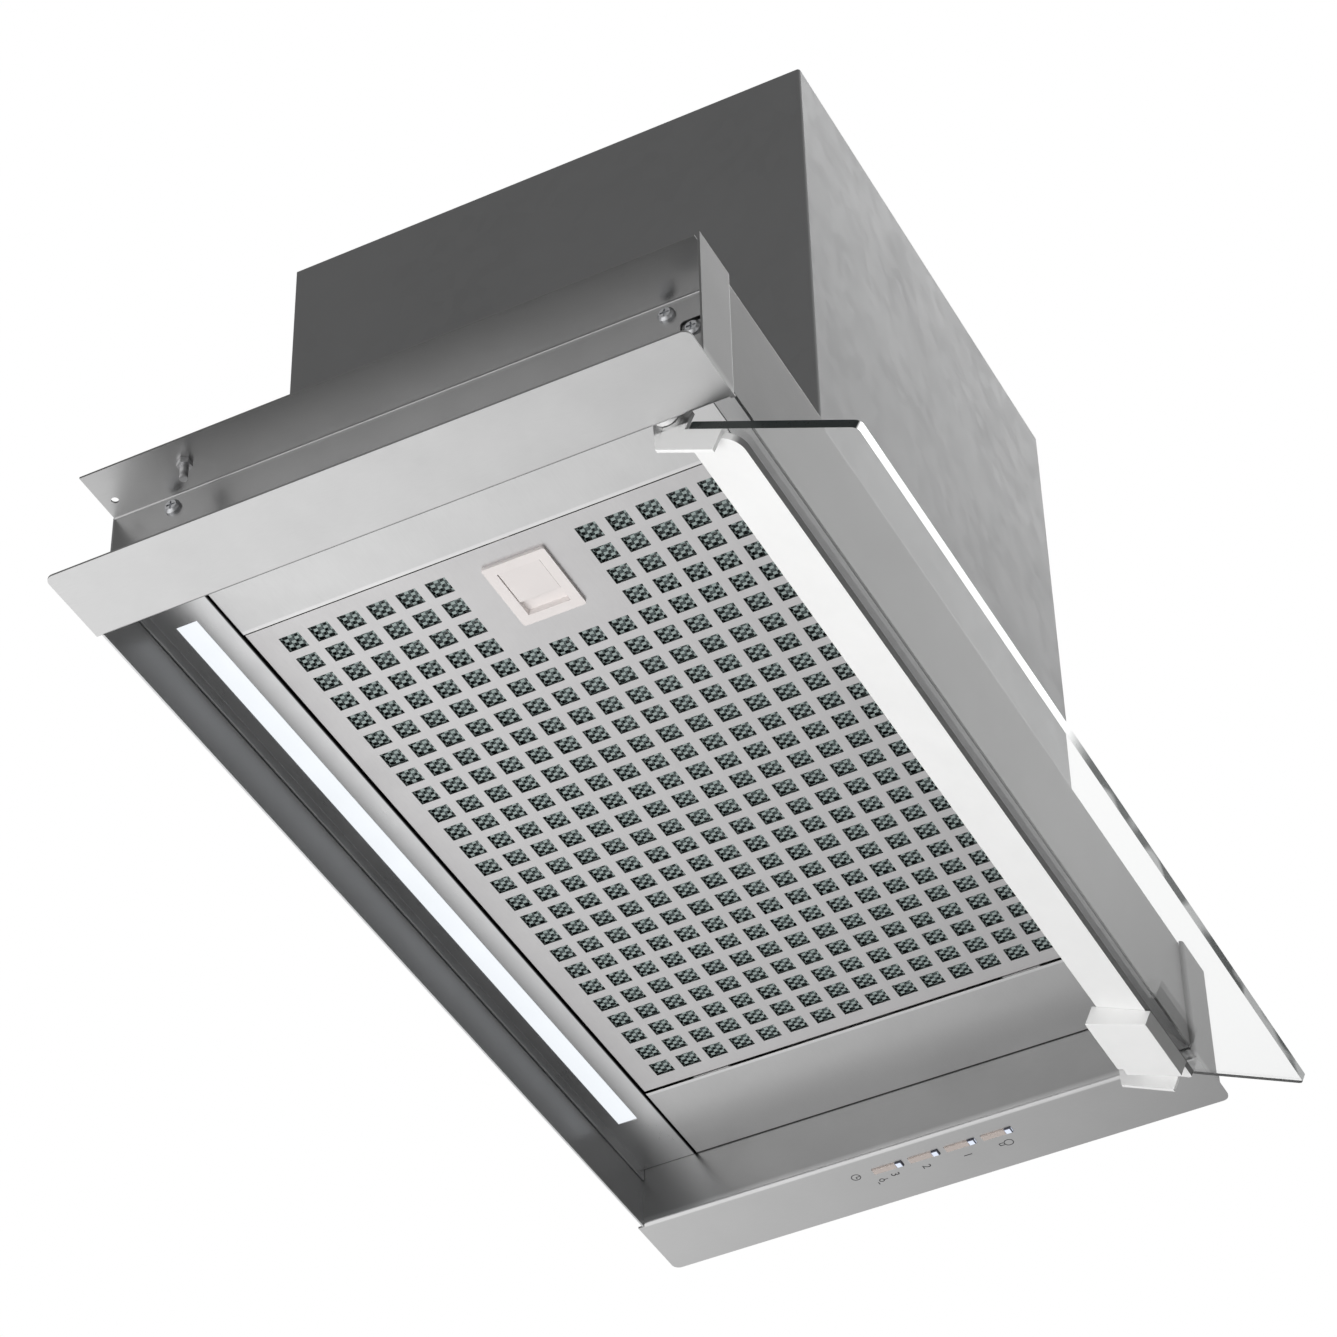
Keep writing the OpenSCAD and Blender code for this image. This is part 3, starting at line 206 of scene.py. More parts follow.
def cells(tree, vector, scale):
    """A random grey for each cell of a crystal pattern"""
    texture = tree.nodes.new("ShaderNodeTexVoronoi")
    texture.inputs["Scale"].default_value = scale
    tree.links.new(vector, texture.inputs["Vector"])
    grey = tree.nodes.new("ShaderNodeSeparateColor")
    tree.links.new(texture.outputs["Color"], grey.inputs["Color"])
    return grey.outputs["Red"]


def spread(tree, source, low, high, start=0.3, end=0.7):
    """Maps a pattern to a range of values"""
    remap = tree.nodes.new("ShaderNodeMapRange")
    remap.inputs["From Min"].default_value = start
    remap.inputs["From Max"].default_value = end
    remap.inputs["To Min"].default_value = low
    remap.inputs["To Max"].default_value = high
    tree.links.new(source, remap.inputs["Value"])
    return remap.outputs["Result"]


def opposite(tree, share):
    """1 to 0 as a share goes from 0 to 1"""
    return spread(tree, share, 1.0, 0.0, 0.0, 1.0)


def combined(tree, operation, first, second):
    """Two values put together, each a number or a pattern"""
    node = tree.nodes.new("ShaderNodeMath")
    node.operation = operation
    for socket, value in zip(node.inputs, (first, second)):
        if isinstance(value, float):
            socket.default_value = value
        else:
            tree.links.new(value, socket)
    return node.outputs["Value"]


def product(tree, first, second):
    return combined(tree, "MULTIPLY", first, second)


def total(tree, first, second):
    return combined(tree, "ADD", first, second)


def blended(tree, share, first, second):
    """Colour between two tones"""
    mix = tree.nodes.new("ShaderNodeMix")
    mix.data_type = "RGBA"
    if isinstance(share, float):
        mix.inputs["Factor"].default_value = share
    else:
        tree.links.new(share, mix.inputs["Factor"])
    for socket, tone in zip((mix.inputs[6], mix.inputs[7]), (first, second)):
        if hasattr(tone, "is_output"):
            tree.links.new(tone, socket)
        else:
            socket.default_value = (*tone, 1.0)
    return mix.outputs[2]


def scaled_tone(tone, share):
    """A tone made darker or lighter"""
    return tuple(min(1.0, channel * share) for channel in tone)


def mottled(tree, pattern, tone, share):
    """A tone that a pattern darkens in places, down to a share of it"""
    return blended(tree, spread(tree, pattern, 0.0, 1.0), scaled_tone(tone, share), tone)


def coordinate(tree, place, axis):
    """The piece's own coordinate on an axis"""
    axes = tree.nodes.new("ShaderNodeSeparateXYZ")
    tree.links.new(place.outputs["Object"], axes.inputs["Vector"])
    return axes.outputs[axis]


def along(tree, place, axis, low, high, start, end):
    """Low to high as the piece's own coordinate on an axis goes from start to end"""
    return spread(tree, coordinate(tree, place, axis), low, high, start, end)


def dot(tree, source, direction):
    """How far a vector goes along a direction"""
    node = tree.nodes.new("ShaderNodeVectorMath")
    node.operation = "DOT_PRODUCT"
    node.inputs[1].default_value = direction
    tree.links.new(source, node.inputs[0])
    return node.outputs["Value"]


def turned_to(tree, place, direction, start, end):
    """0 to 1 as a face turns towards a direction: start and end are cosines"""
    return spread(tree, dot(tree, place.outputs["Normal"], direction), 0.0, 1.0, start, end)


def facing_share(tree, place, direction, start, end):
    """0 to 1 as a face turns towards a direction or away from it"""
    away = tuple(-part for part in direction)
    return total(tree, turned_to(tree, place, direction, start, end),
                 turned_to(tree, place, away, start, end))


def opened(finish):
    """Tree, shader and coordinates of a finish that is made already"""
    tree = finish.node_tree
    shader = next(node for node in tree.nodes if node.type == "BSDF_PRINCIPLED")
    place = next(node for node in tree.nodes if node.type == "TEX_COORD")
    return tree, shader, place


def tint(tree, socket, share, tone):
    """Turns what feeds a colour socket towards a tone, by a share"""
    tree.links.new(blended(tree, share, socket.links[0].from_socket, tone), socket)


def raise_grain(tree, shader, height, strength, depth):
    """Bump from a pattern"""
    bump = tree.nodes.new("ShaderNodeBump")
    bump.inputs["Strength"].default_value = strength
    bump.inputs["Distance"].default_value = depth
    tree.links.new(height, bump.inputs["Height"])
    tree.links.new(bump.outputs["Normal"], shader.inputs["Normal"])


# Finishes


def brushed_steel(name, tone, roughness, stretch, depth=0.012 * MM):
    """Stainless sheet with fine grain along one axis and faint handling marks"""
    finish, tree, shader, place = blank_finish(name)
    shader.inputs["Metallic"].default_value = 1.0
    grain = noise(tree, stretched(tree, place, stretch), 1.0, 2.0)
    smudges = noise(tree, place.outputs["Object"], 9.0, 4.0, 0.6)
    patches = noise(tree, place.outputs["Object"], 38.0, 3.0)
    colour = mottled(tree, smudges, tone, 0.965)
    colour = blended(tree, spread(tree, grain, 0.0, 0.16), colour, scaled_tone(tone, 0.86))
    tree.links.new(colour, shader.inputs["Base Color"])
    rough = total(tree, spread(tree, grain, roughness - 0.025, roughness + 0.035),
                  spread(tree, patches, -0.02, 0.03))
    tree.links.new(rough, shader.inputs["Roughness"])
    raise_grain(tree, shader, grain, 0.25, depth)
    return finish


def folded_steel(name, tone, roughness, stretch, wall_shade):
    """Brushed sheet with painted shade on its wall above the fold, where it sees less of the studio"""
    finish = brushed_steel(name, tone, roughness, stretch)
    tree, shader, place = opened(finish)
    fold_top = 2 * MM
    shade_full_from = 5 * MM
    # Painted shade: the wall darkens from the top of the fold to 5 mm above it
    dull = along(tree, place, "Z", 0.0, wall_shade, fold_top, shade_full_from)
    tint(tree, shader.inputs["Base Color"], dull, (0.0, 0.0, 0.0))
    return finish


def infill_steel(name, tone, roughness, stretch, well_x, wall_x):
    """Brushed sheet with a painted highlight along its fold at the filter and a painted shade line at the
    end wall
    """
    finish = brushed_steel(name, tone, roughness, stretch)
    tree, shader, place = opened(finish)
    side = 1 if wall_x > well_x else -1
    fold_w = side * 1.6 * MM
    fold_blur = side * 0.8 * MM
    seam_w = side * 0.4 * MM
    seam_blur = side * 0.3 * MM
    # Painted highlight: the band nearest the fold at the filter is turned towards white
    fold = along(tree, place, "X", 0.0, 0.8, well_x + fold_w + fold_blur, well_x + fold_w)
    tint(tree, shader.inputs["Base Color"], fold, (1.0, 1.0, 1.0))
    # Painted shade: a thin dark line beside the end wall, where the gap is
    seam = along(tree, place, "X", 0.0, 1.0, wall_x - seam_w - seam_blur, wall_x - seam_w)
    tint(tree, shader.inputs["Base Color"], seam, (0.12, 0.12, 0.12))
    return finish


def zinc_sheet(name, tone, roughness, spangle):
    """Zinc-coated sheet with a faint spangle and dull patches"""
    finish, tree, shader, place = blank_finish(name)
    shader.inputs["Metallic"].default_value = 1.0
    crystal = cells(tree, place.outputs["Object"], 1.0 / spangle)
    haze = noise(tree, place.outputs["Object"], 14.0, 4.0, 0.6)
    pits = noise(tree, place.outputs["Object"], 1400.0, 2.0)
    colour = mottled(tree, haze, tone, 0.93)
    colour = blended(tree, spread(tree, crystal, 0.0, 0.3, 0.0, 1.0), colour, scaled_tone(tone, 1.08))
    tree.links.new(colour, shader.inputs["Base Color"])
    rough = total(tree, spread(tree, crystal, roughness - 0.03, roughness + 0.03, 0.0, 1.0),
                  spread(tree, haze, -0.03, 0.04))
    tree.links.new(rough, shader.inputs["Roughness"])
    raise_grain(tree, shader, pits, 0.12, 0.02 * MM)
    return finish


def plain_metal(name, tone, roughness, grain_size=0.5 * MM, metallic=1.0):
    """Turned, cast or plated metal"""
    finish, tree, shader, place = blank_finish(name)
    shader.inputs["Metallic"].default_value = metallic
    grain = noise(tree, place.outputs["Object"], 1.0 / grain_size, 3.0)
    tarnish = noise(tree, place.outputs["Object"], 60.0, 3.0)
    colour = mottled(tree, tarnish, tone, 0.88)
    tree.links.new(colour, shader.inputs["Base Color"])
    tree.links.new(spread(tree, grain, roughness - 0.05, roughness + 0.07), shader.inputs["Roughness"])
    raise_grain(tree, shader, grain, 0.3, 0.015 * MM)
    return finish


def moulding(name, tone, roughness, grain_size=0.7 * MM, strength=0.18, soil=0.05):
    """Moulded plastic with a fine eroded grain and faint soiling"""
    finish, tree, shader, place = blank_finish(name)
    grain = noise(tree, place.outputs["Object"], 1.0 / grain_size, 4.0, 0.6)
    cloud = noise(tree, place.outputs["Object"], 26.0, 4.0, 0.6)
    colour = mottled(tree, cloud, tone, 1.0 - soil)
    tree.links.new(colour, shader.inputs["Base Color"])
    tree.links.new(spread(tree, grain, roughness - 0.05, roughness + 0.06), shader.inputs["Roughness"])
    raise_grain(tree, shader, grain, strength, 0.02 * MM)
    return finish


def lit_moulding(name, tone, strength, rest_tone):
    """Opal or clear plastic, lit from behind a little unevenly, and dimmer in what metals reflect"""
    finish, tree, shader, place = blank_finish(name)
    cloud = noise(tree, place.outputs["Object"], 30.0, 2.0)
    grain = noise(tree, place.outputs["Object"], 1600.0, 2.0)
    colour = mottled(tree, cloud, tone, 0.97)
    tree.links.new(colour, shader.inputs["Emission Color"])
    path = tree.nodes.new("ShaderNodeLightPath")
    reflected = strength * 0.2
    tree.links.new(spread(tree, path.outputs["Is Glossy Ray"], strength, reflected, 0.0, 1.0),
                   shader.inputs["Emission Strength"])
    unlit = mottled(tree, cloud, rest_tone, 0.96)
    tree.links.new(unlit, shader.inputs["Base Color"])
    tree.links.new(spread(tree, grain, 0.30, 0.40), shader.inputs["Roughness"])
    raise_grain(tree, shader, grain, 0.1, 0.01 * MM)
    return finish


def shaded_window(name, tone, strength, rest_tone):
    """Lit plastic with the shade of its slot on its inner side and at its front end"""
    finish = lit_moulding(name, tone, strength, rest_tone)
    tree, shader, place = opened(finish)
    low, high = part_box("indicator_windows")
    lit_edge = (low.x + high.x) / 2 - 1.3 * MM
    lit_start = low.y + 0.6 * MM
    blur = 0.3 * MM
    inner_side = along(tree, place, "X", 0.0, 1.0, lit_edge, lit_edge - blur)
    # The windows lie a pitch apart, so each one is folded onto the first
    pitch = (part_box("button_speed_3")[0].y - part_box("button_light")[0].y) / 3
    first_window = tree.nodes.new("ShaderNodeMath")
    first_window.operation = "WRAP"
    first_window.inputs[1].default_value = low.y + pitch
    first_window.inputs[2].default_value = low.y
    tree.links.new(coordinate(tree, place, "Y"), first_window.inputs[0])
    front_end = spread(tree, first_window.outputs["Value"], 1.0, 0.0, lit_start, lit_start + blur)
    for share in (inner_side, front_end):
        tint(tree, shader.inputs["Emission Color"], share, (0.02, 0.02, 0.03))
        tint(tree, shader.inputs["Base Color"], share, (0.04, 0.04, 0.05))
    return finish


def light_panel_finish(tone, stretch):
    """Brushed sheet with painted shade along its front edge, beside the filter"""
    finish = brushed_steel("light panel steel", tone, 0.3, stretch, 0.003 * MM)
    tree, shader, place = opened(finish)
    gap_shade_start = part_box("light_panel")[0].y + 0.5 * MM
    gap_shade_blur = 0.6 * MM
    # Painted shade: the front edge goes dark where the gap to the filter is
    gap_shade = along(tree, place, "Y", 1.0, 0.0, gap_shade_start, gap_shade_start + gap_shade_blur)
    tint(tree, shader.inputs["Base Color"], gap_shade, (0.02, 0.02, 0.02))
    return finish


def visor_arm_finish(white):
    """Steel arm whose lug, below the strips, is white and not metallic"""
    finish = plain_metal("visor arm steel", (0.82, 0.82, 0.82), 0.34)
    tree, shader, place = opened(finish)
    lug_top = -1 * MM
    tint(tree, shader.inputs["Base Color"], along(tree, place, "Z", 1.0, 0.0, lug_top, 0.0), white)
    tree.links.new(along(tree, place, "Z", 0.0, 1.0, lug_top, 0.0), shader.inputs["Metallic"])
    return finish


def visor_moulding(name, white, front_share):
    """White moulding with painted shade on its faces turned to the front, away from the light"""
    finish = moulding(name, white, 0.44)
    tree, shader, place = opened(finish)
    # Painted shade on the faces turned to the front
    front = turned_to(tree, place, (0.0, -1.0, 0.0), 0.45, 0.75)
    tint(tree, shader.inputs["Base Color"], front, scaled_tone(white, front_share))
    return finish


def painted_edge_glints(tree, place):
    """Painted glint on the ground outer edge: bright up to near its middle, then faint, then only in
    patches
    """
    bright = 0.9
    faint = 0.25
    bright_end_x = -0.04
    faint_start_x = -0.01
    faint_end_x = 0.11
    dark_start_x = 0.12
    left = along(tree, place, "X", bright, faint, bright_end_x, faint_start_x)
    right = along(tree, place, "X", 0.0, faint, dark_start_x, faint_end_x)
    line = product(tree, left, total(tree, right, spread(tree, left, 0.0, 1.0, 0.3, bright)))
    patches = noise(tree, stretched(tree, place, (26.0, 60.0, 60.0)), 1.0, 1.0)
    return total(tree, line, spread(tree, patches, 0.0, 0.3, 0.52, 0.6))


def visor_glass_finish():
    """Clear float glass: painted shade on its polished ends and inner edge, a painted glint on its ground
    outer edge
    """
    finish, tree, shader, place = blank_finish("visor glass")
    tone = plastics().glass_tone
    shader.inputs["IOR"].default_value = 1.5
    pane = facing_share(tree, place, pane_normal(), 0.5, 0.8)
    ends = facing_share(tree, place, (1.0, 0.0, 0.0), 0.5, 0.8)
    edges = opposite(tree, pane)
    film = noise(tree, place.outputs["Object"], 12.0, 4.0)
    grind = noise(tree, place.outputs["Object"], 900.0, 2.0)
    face = mottled(tree, film, tone, 0.99)
    low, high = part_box("visor_glass")
    middle = (low.y + high.y) / 2
    # Painted shade: the ends and the inner edge are dark and nearly opaque
    outer = along(tree, place, "Y", 1.0, 0.0, middle - 1 * MM, middle + 1 * MM)
    ground = blended(tree, outer, (0.03, 0.035, 0.035), plastics().glass_edge_tone)
    edge = blended(tree, ends, ground, (0.02, 0.025, 0.025))
    tree.links.new(blended(tree, pane, edge, face), shader.inputs["Base Color"])
    clear = total(tree, product(tree, pane, 0.78), spread(tree, ends, 0.22, 0.04, 0.0, 1.0))
    tree.links.new(clear, shader.inputs["Transmission Weight"])
    # Painted glint: the ground outer edge glows, though it is no lamp
    painted_glints = painted_edge_glints(tree, place)
    for share in (outer, edges, opposite(tree, ends)):
        painted_glints = product(tree, painted_glints, share)
    tree.links.new(face, shader.inputs["Emission Color"])
    tree.links.new(painted_glints, shader.inputs["Emission Strength"])
    rough = total(tree, product(tree, edges, spread(tree, grind, 0.25, 0.4)),
                  spread(tree, film, 0.0, 0.01))
    tree.links.new(rough, shader.inputs["Roughness"])
    raise_grain(tree, shader, product(tree, edges, grind), 0.05, 0.01 * MM)
    return finish


def board_finish():
    """Circuit board with tracks under green lacquer"""
    finish, tree, shader, place = blank_finish("control board lacquer")
    tracks = tree.nodes.new("ShaderNodeTexBrick")
    tracks.inputs["Scale"].default_value = 90.0
    tracks.inputs["Mortar Size"].default_value = 0.03
    tracks.inputs["Color1"].default_value = (0.012, 0.10, 0.05, 1.0)
    tracks.inputs["Color2"].default_value = (0.015, 0.12, 0.06, 1.0)
    tracks.inputs["Mortar"].default_value = (0.06, 0.24, 0.11, 1.0)
    tree.links.new(place.outputs["Object"], tracks.inputs["Vector"])
    tree.links.new(tracks.outputs["Color"], shader.inputs["Base Color"])
    tree.links.new(spread(tree, tracks.outputs["Fac"], 0.26, 0.4, 0.0, 1.0), shader.inputs["Roughness"])
    raise_grain(tree, shader, tracks.outputs["Fac"], 0.4, 0.03 * MM)
    return finish


def ribbed_metal(name, dark, light, length, direction, roughness):
    """Stacked sheets, windings or threads: ribs along one axis, 2 pi times a length apart"""
    finish, tree, shader, place = blank_finish(name)
    shader.inputs["Metallic"].default_value = 1.0
    ribs = tree.nodes.new("ShaderNodeTexWave")
    ribs.wave_type = "BANDS"
    ribs.bands_direction = direction
    node_factor = 20.0
    ribs.inputs["Scale"].default_value = 1.0 / (length * node_factor)
    ribs.inputs["Distortion"].default_value = 0.4
    tree.links.new(place.outputs["Object"], ribs.inputs["Vector"])
    # Painted shade: the colour is dark in the grooves and light on the ribs
    tree.links.new(blended(tree, ribs.outputs["Fac"], dark, light), shader.inputs["Base Color"])
    tree.links.new(spread(tree, ribs.outputs["Fac"], roughness + 0.1, roughness, 0.0, 1.0),
                   shader.inputs["Roughness"])
    raise_grain(tree, shader, ribs.outputs["Fac"], 0.5, 0.1 * MM)
    return finish


# Dressing the solids


def soft_shading():
    """Smooth shading that keeps real corners sharp"""
    group = bpy.data.node_groups.get("smooth sheet")
    if group:
        return group
    group = bpy.data.node_groups.new("smooth sheet", "GeometryNodeTree")
    group.interface.new_socket("Geometry", in_out="INPUT", socket_type="NodeSocketGeometry")
    group.interface.new_socket("Geometry", in_out="OUTPUT", socket_type="NodeSocketGeometry")
    start = group.nodes.new("NodeGroupInput")
    end = group.nodes.new("NodeGroupOutput")
    faces = group.nodes.new("GeometryNodeSetShadeSmooth")
    edges = group.nodes.new("GeometryNodeSetShadeSmooth")
    edges.domain = "EDGE"
    angle = group.nodes.new("GeometryNodeInputMeshEdgeAngle")
    shallow = group.nodes.new("FunctionNodeCompare")
    shallow.operation = "LESS_THAN"
    shallow.inputs["B"].default_value = math.radians(32)
    group.links.new(angle.outputs["Unsigned Angle"], shallow.inputs["A"])
    group.links.new(start.outputs[0], faces.inputs["Geometry"])
    group.links.new(faces.outputs["Geometry"], edges.inputs["Geometry"])
    group.links.new(shallow.outputs["Result"], edges.inputs["Shade Smooth"])
    group.links.new(edges.outputs["Geometry"], end.inputs[0])
    return group


def dress(nodes, finish, edge=0.0):
    """Gives solids a finish and, where edge is a length, lightly rounded edges"""
    for name in nodes:
        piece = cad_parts[name]
        for slot in piece.material_slots:
            slot.material = finish
        if not piece.material_slots:
            piece.data.materials.append(finish)
        custom = piece.data.attributes.get("custom_normal")
        if custom:
            piece.data.attributes.remove(custom)
        weld = piece.modifiers.new("joined corners", "WELD")
        weld.merge_threshold = 0.005 * MM
        if edge:
            bevel = piece.modifiers.new("rounded edges", "BEVEL")
            bevel.width = edge
            bevel.segments = 2
            bevel.limit_method = "ANGLE"
            bevel.angle_limit = math.radians(40)
            bevel.use_clamp_overlap = True
        shading = piece.modifiers.new("smooth sheet", "NODES")
        shading.node_group = soft_shading()
        flats = piece.modifiers.new("flat faces stay flat", "WEIGHTED_NORMAL")
        flats.keep_sharp = True


def pane_normal():
    """Direction that the glass of the visor faces, from the largest faces of its solid"""
    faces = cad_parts["visor_glass"].data.polygons
    return max(faces, key=lambda face: face.area).normal.normalized()


def add_piece(name, verts, faces, finish, body):
    """A new piece from points and faces, riding on a body"""
    mesh = bpy.data.meshes.new(name)
    mesh.from_pydata(verts, [], faces)
    mesh.validate()
    mesh.materials.append(finish)
    piece = bpy.data.objects.new(name, mesh)
    bpy.context.scene.collection.objects.link(piece)
    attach(piece, body)
    return piece


# Filter mesh


def mesh_row(x, y0, y1, z, side, row, strand):
    """One three-sided strand of a mesh layer: bonds to its two sides in turn, and links between them"""
    sheet = grease_filter()
    step = sheet.diamond / 2
    count = int((y1 - y0) / step)
    half_w = strand / 2
    tilt = sheet.slant * half_w
    verts = []
    for i in range(count):
        turn = side if i % 2 else -side
        y = y0 + (i + 0.5) * step
        mid_x = x + turn * (row / 2 - half_w)
        mid_z = z + tilt + turn * tilt
        for end in (-sheet.bond / 2, sheet.bond / 2):
            verts += [
                (mid_x + half_w, y + end, mid_z - tilt),
                (mid_x - half_w, y + end, mid_z + tilt),
                (mid_x, y + end, mid_z + sheet.strand_t),
            ]
    faces = [(2, 1, 0)]
    for station in range(2 * count - 1):
        low = 3 * station
        faces += [(low + a, low + b, low + 3 + b, low + 3 + a) for a, b in ((0, 1), (1, 2), (2, 0))]
    last = 3 * (2 * count - 1)
    faces.append((last, last + 1, last + 2))
    return verts, faces


def latch_hole():
    """The latch room cut out of the mesh: its right end, its front and its back"""
    low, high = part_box("latch_bezel")
    margin = 14 * MM
    return high.x + margin, low.y - margin, high.y + margin


def mesh_layer(name, finish, z, row, strand):
    """One expanded sheet of the filter, strand by strand, with its cut-out round the latch"""
    sheet = grease_filter()
    low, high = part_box("filter_mesh")
    hole_x, hole_y0, hole_y1 = latch_hole()
    behind = low.y + math.ceil((hole_y1 - low.y) / sheet.diamond) * sheet.diamond
    verts = []
    faces = []
    for k in range(int((high.x - low.x) / row)):
        x = low.x + (k + 0.5) * row
        runs = [(low.y, hole_y0), (behind, high.y)] if x < hole_x else [(low.y, high.y)]
        for y0, y1 in runs:
            more_verts, more_faces = mesh_row(x, y0, y1, z, 1 if k % 2 else -1, row, strand)
            base = len(verts)
            verts += more_verts
            faces += [tuple(base + i for i in face) for face in more_faces]
    return add_piece(name, verts, faces, finish, "filter")


# Latch spring


def latch_coil(finish):
    """The wound spring of the latch, which in use shortens towards its fixed end as the slider moves;
    here a fixed coil over the length of its solid
    """
    low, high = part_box("latch_spring")
    wire_r = 0.4 * MM
    # Six turns of wire; the slider itself moves 6 mm
    turns = 6
    steps = 16 * turns
    sides = 6
    length = high.x - low.x
    middle = (low + high) / 2
    verts = []
    faces = [tuple(range(sides))]
    for i in range(steps + 1):
        turn = 2 * math.pi * turns * i / steps
        out = Vector((0, math.cos(turn), math.sin(turn)))
        centre = out * ((high.z - low.z) / 2 - wire_r) + middle
        centre.x = low.x + wire_r + (length - 2 * wire_r) * i / steps
        for k in range(sides):
            angle = 2 * math.pi * k / sides
            verts.append(centre + (out * math.cos(angle) + Vector((math.sin(angle), 0, 0))) * wire_r)
    for i in range(steps):
        a = sides * i
        b = a + sides
        faces += [(a + k, b + k, b + (k + 1) % sides, a + (k + 1) % sides) for k in range(sides)]
    faces.append(tuple(reversed(range(sides * steps, sides * (steps + 1)))))
    coil = add_piece("latch_coil", verts, faces, finish, "filter")
    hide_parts("latch_spring")
    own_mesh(coil)


# Button marks


def ring(name, x, y, radius, finish, strokes):
    """A printed ring with straight strokes, each given by its turn, its start and its length"""
    marks = printed()
    z0 = 0.0
    z1 = -marks.ink_t
    steps = 40
    verts = []
    faces = []
    for i in range(steps):
        turn = 2 * math.pi * i / steps
        for r, z in ((radius, z0), (radius, z1), (radius - marks.line, z1), (radius - marks.line, z0)):
            verts.append((x + r * math.cos(turn), y + r * math.sin(turn), z))
    for i in range(steps):
        a = 4 * i
        b = 4 * ((i + 1) % steps)
        faces += [(a + k, a + (k + 1) % 4, b + (k + 1) % 4, b + k) for k in range(4)]
    for turn, start, length in strokes:
        run = Vector((math.cos(turn), math.sin(turn), 0)) * length
        across = Vector((-math.sin(turn), math.cos(turn), 0)) * marks.line / 2
        foot = Vector((x + start[0], y + start[1], 0))
        base = len(verts)
        for z in (z0, z1):
            for point in (foot - across, foot + run - across, foot + run + across, foot + across):
                verts.append((point.x, point.y, z))
        faces += [tuple(base + k for k in face) for face in (
            (0, 1, 2, 3), (7, 6, 5, 4), (0, 4, 5, 1), (1, 5, 6, 2), (2, 6, 7, 3), (3, 7, 4, 0)
        )]
    add_piece(name, verts, faces, finish, "housing")


def digit(name, text, x, y, finish):
    """A printed digit with its top towards the front, read from below"""
    marks = printed()
    curve = bpy.data.curves.new(name, "FONT")
    curve.body = text
    size_per_height = 1.4
    curve.size = marks.digit_h * size_per_height
    curve.extrude = marks.ink_t
    curve.align_x = "CENTER"
    curve.align_y = "CENTER"
    curve.materials.append(finish)
    piece = bpy.data.objects.new(name, curve)
    bpy.context.scene.collection.objects.link(piece)
    piece.rotation_euler = (math.pi, 0, 0)
    piece.location = (x, y, 0)
    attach(piece, "housing")


def beside(button, aside, back):
    """A place so many millimetres to the right of a button's middle and behind it"""
    low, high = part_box("button_" + button)
    return (low.x + high.x) / 2 + aside * MM, (low.y + high.y) / 2 + back * MM


# Pieces and groups


class HOOD_OT_end_plates(bpy.types.Operator):
    """Stainless finish for the end plates, the front panel and the infill panels beside the filter"""

    bl_idname = "hood.end_plates"
    bl_label = "End plates and front"

    def execute(self, context):
        tone = sheets().steel_tone
        rough = sheets().steel_roughness
        edge = sheets().edge_round
        along_x = (160, 5000, 5000)
        along_y = (5000, 160, 5000)
        # The last number is the painted shade on each end wall above its fold
        dress(["left_end_plate"], folded_steel("left strip steel", tone, rough, along_y, 0.25), edge)
        dress(["right_end_plate"], folded_steel("right strip steel", tone, rough, along_y, 0.38), edge)
        # The front panel is the same steel at 0.55 of its tone: painted shade
        dress(["front_panel"], brushed_steel("front steel", scaled_tone(tone, 0.55), rough, along_x),
              edge)
        # The left infill panel is made lighter and the right one darker: painted light and shade on one
        # steel
        for side, share in (("left", 1.06), ("right", 0.95)):
            panel = side + "_infill_panel"
            low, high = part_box(panel)
            well_x, wall_x = (low.x, high.x) if side == "right" else (high.x, low.x)
            finish = infill_steel(side + " infill steel", scaled_tone(tone, share), rough, along_x,
                                  well_x, wall_x)
            dress([panel], finish, edge)
        return {"FINISHED"}


class HOOD_OT_inner_sheets(bpy.types.Operator):
    """Brushed finish for the sheets inside the recess, and zinc for the roof and the motor box"""

    bl_idname = "hood.inner_sheets"
    bl_label = "Inner sheets and motor box"

    def execute(self, context):
        tone = sheets().zinc_tone
        rough = sheets().zinc_roughness
        spangle = sheets().spangle
        edge = sheets().edge_round
        along_x = (160, 4200, 4200)
        zinc = zinc_sheet("motor box zinc", tone, rough, spangle)
        # The inner wall, back panel and light panel are one steel at 0.8, 1.45 and 1.6 of the zinc tone:
        # painted shade and light
        dress(["front_inner_wall"],
              brushed_steel("inner wall steel", scaled_tone(tone, 0.8), rough, along_x), edge)
        dress(["back_panel"],
              brushed_steel("back panel steel", scaled_tone(tone, 1.45), rough, along_x), edge)
        dress(["light_panel"], light_panel_finish(scaled_tone(tone, 1.6), along_x), edge)
        dress(["motor_box_shell", "motor_box_top", "motor_box_back", "top_plate", "scroll_left_half",
               "scroll_right_half", "motor_bracket", "light_cover"], zinc, edge)
        return {"FINISHED"}


